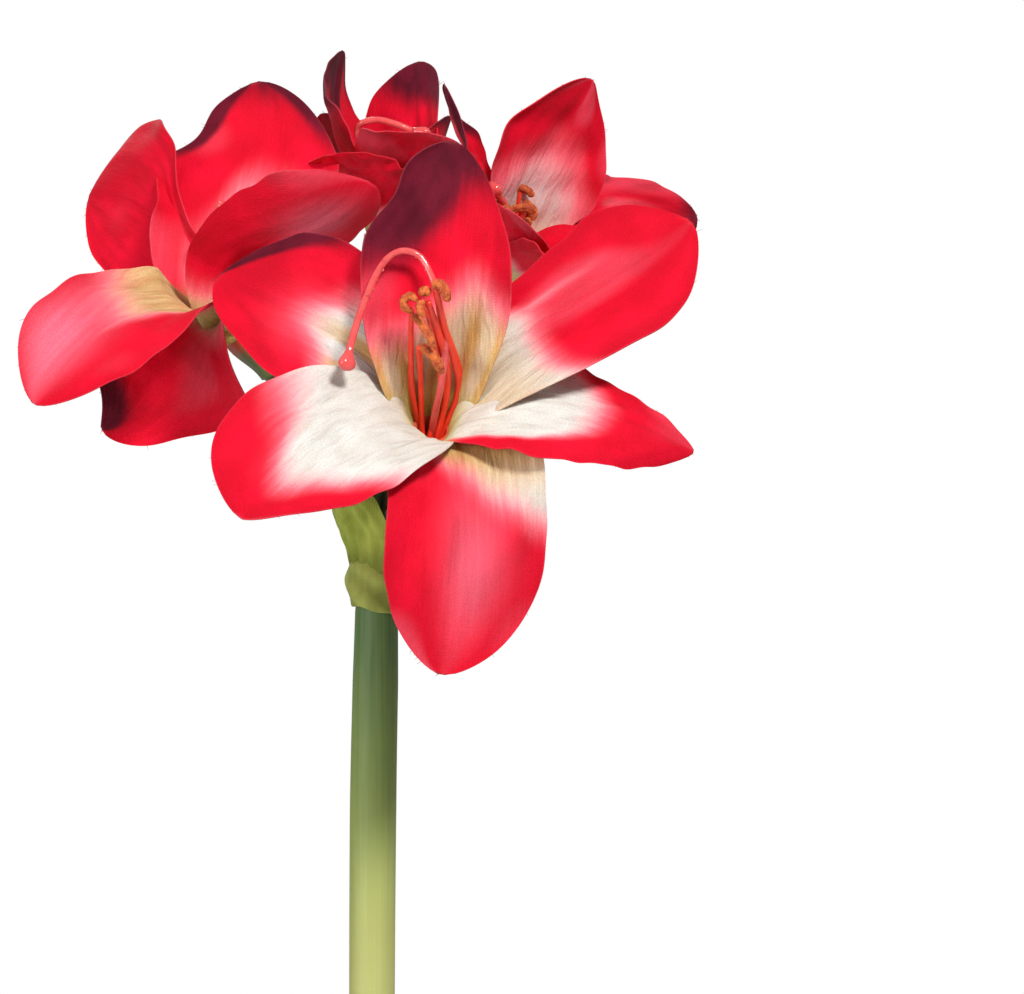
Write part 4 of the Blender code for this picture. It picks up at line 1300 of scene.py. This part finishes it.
def make_bulb(material):
    """The bulb with the edges of two dry skins, and a socket for the scape."""
    socket, foot = SCAPE_RADIUS + GAP, SCAPE_SOCKET - GAP
    profile = [(0.0, foot), (socket, foot), (socket, NECK_TOP - 0.001),
               (NECK_RADIUS - 0.003, NECK_TOP), (NECK_RADIUS - 0.001, NECK_TOP - 0.001)]
    profile += [(bulb_radius(z), z) for z in np.linspace(NECK_TOP - 0.003, BULB_BASE, 90)]
    profile += [(0.0, BULB_BASE)]

    def skins(angle, radius, height):
        outside = radius > NECK_RADIUS - 0.0035
        ridge = 0.00035 * ripple(31, 16 * np.cos(angle) + 3 * height, 16 * np.sin(angle), 12)
        edge = 0.112 + 0.012 * np.cos(angle + 1.0) + 0.006 * np.cos(3 * angle)
        layer = 0.0007 * smooth(edge + 0.001, edge - 0.001, height)
        edge = 0.136 + 0.006 * np.cos(angle - 2.0) + 0.004 * np.cos(4 * angle)
        layer = layer + 0.0006 * smooth(edge + 0.001, edge - 0.001, height)
        return radius + np.where(outside, ridge + layer - 0.0008, 0.0), height

    return lathe_object("bulb_skins", profile, material, 180, skins)


def make_soil(material):
    """The soil's crumbly surface, running out to the pot and in to the bulb."""
    inner = bulb_radius(SOIL_LEVEL) + 0.0002
    outer = soil_wall_radius(SOIL_LEVEL) - 0.0006
    under = SOIL_LEVEL - SOIL_SKIRT
    profile = [(inner - 0.001, under)]
    profile += [(r, SOIL_LEVEL) for r in np.linspace(inner, outer, 44)]
    profile += [(outer - 0.0008, under), (inner - 0.001, under)]

    def crumbs(angle, radius, height):
        x, y = radius * np.cos(angle), radius * np.sin(angle)
        lumps = 0.0010 * ripple(51, 260 * x, 260 * y, 14)
        lumps = lumps + 0.0008 * ripple(52, 620 * x, 620 * y, 16)
        mound = 0.0015 * np.sin(pi * np.clip((radius - inner) / (outer - inner), 0, 1))
        top = height > SOIL_LEVEL - 0.001
        return radius, height + np.where(top, lumps + mound, 0.0)

    return lathe_object("soil_top", profile, material, 220, crumbs)


def make_crumbs(material):
    """Loose crumbs and bits of bark lying on the soil."""
    draw = np.random.default_rng(8)
    shape = bmesh.new()
    inner = bulb_radius(SOIL_LEVEL) + 0.002
    outer = soil_wall_radius(SOIL_LEVEL) - 0.003
    for _ in range(CRUMBS):
        radius = (draw.uniform(inner**2, outer**2)) ** 0.5
        angle = draw.uniform(0, 2 * pi)
        size = 0.0005 + 0.0014 * draw.random() ** 2
        height = SOIL_LEVEL + 0.0014 + size * 0.3
        where = Matrix.Translation((radius * cos(angle), radius * sin(angle), height))
        turn = Matrix.Rotation(draw.uniform(0, pi), 4, Vector(draw.normal(0, 1, 3)).normalized())
        scale = Matrix.Diagonal((*(size * draw.uniform(0.7, 1.4, 3)), 1.0))
        before = len(shape.verts)
        bmesh.ops.create_icosphere(shape, subdivisions=1, radius=1.0, matrix=where @ turn @ scale)
        shape.verts.ensure_lookup_table()
        for vert in list(shape.verts)[before:]:
            vert.co += Vector(draw.normal(0, 0.12, 3)) * size
    return shape_object("soil_crumbs", shape, material)


# Stage


def make_floor(material):
    shape = bmesh.new()
    bmesh.ops.create_circle(shape, cap_ends=True, segments=96, radius=FLOOR_RADIUS)
    shape_object("floor", shape, material)


def make_camera():
    camera = bpy.data.cameras.new("camera")
    camera.lens = CAMERA_LENS
    camera.sensor_width = SENSOR_WIDTH
    camera.clip_end = FARTHEST_SEEN
    obj = linked("camera", camera)
    obj.location = CAMERA_AT
    obj.rotation_euler = (pi / 2, 0.0, 0.0)
    bpy.context.scene.camera = obj


def make_lights():
    for name, at, size, power, colour in LIGHTS:
        light = bpy.data.lights.new(name, "AREA")
        light.shape = "DISK"
        light.size = size
        light.energy = power
        light.color = colour
        obj = linked(name, light)
        obj.location = at
        obj.rotation_euler = (Vector(HEAD) - Vector(at)).to_track_quat("-Z", "Y").to_euler()


def make_sky():
    """Pure white where the camera sees it, and dimmer as a light."""
    world = bpy.data.worlds.new("studio")
    bpy.context.scene.world = world
    world.use_nodes = True
    tree = world.node_tree
    background = tree.nodes["Background"]
    background.inputs["Color"].default_value = (1.0, 1.0, 1.0, 1.0)
    path = tree.nodes.new("ShaderNodeLightPath")
    strength = tree.nodes.new("ShaderNodeMapRange")
    tree.links.new(path.outputs["Is Camera Ray"], strength.inputs["Value"])
    strength.inputs["To Min"].default_value = SKY_LIGHT
    strength.inputs["To Max"].default_value = 1.0
    tree.links.new(strength.outputs[0], background.inputs["Strength"])
    bpy.context.scene.view_settings.view_transform = "Standard"


def main():
    make_camera()
    make_lights()
    make_sky()
    make_floor(floor_material())
    materials = {
        "petal": petal_material(),
        "stamen": stamen_material(),
        "anther": anther_material(),
        "style": style_material(),
        "tube": floral_tube_material(),
    }
    for number, (name, bloom) in enumerate(BLOOMS.items()):
        make_bloom(name, bloom, materials, 100 * (number + 1))
    keep(make_scape(stalk_material()), "scape")
    green = pedicel_material()
    for name, bloom in BLOOMS.items():
        keep(make_pedicel(name, bloom, green), "scape")
    cloth = spathe_material()
    keep(make_collar(cloth), "spathe")
    for i, spec in enumerate(BRACTS):
        keep(make_bract(i, spec, cloth), "spathe")
    keep(make_pot(clay_material()), "pot")
    keep(make_bulb(bulb_material()), "bulb")
    soil = soil_material()
    keep(make_soil(soil), "potting_soil")
    keep(make_crumbs(soil), "potting_soil")


main()
bpy.context.view_layer.update()
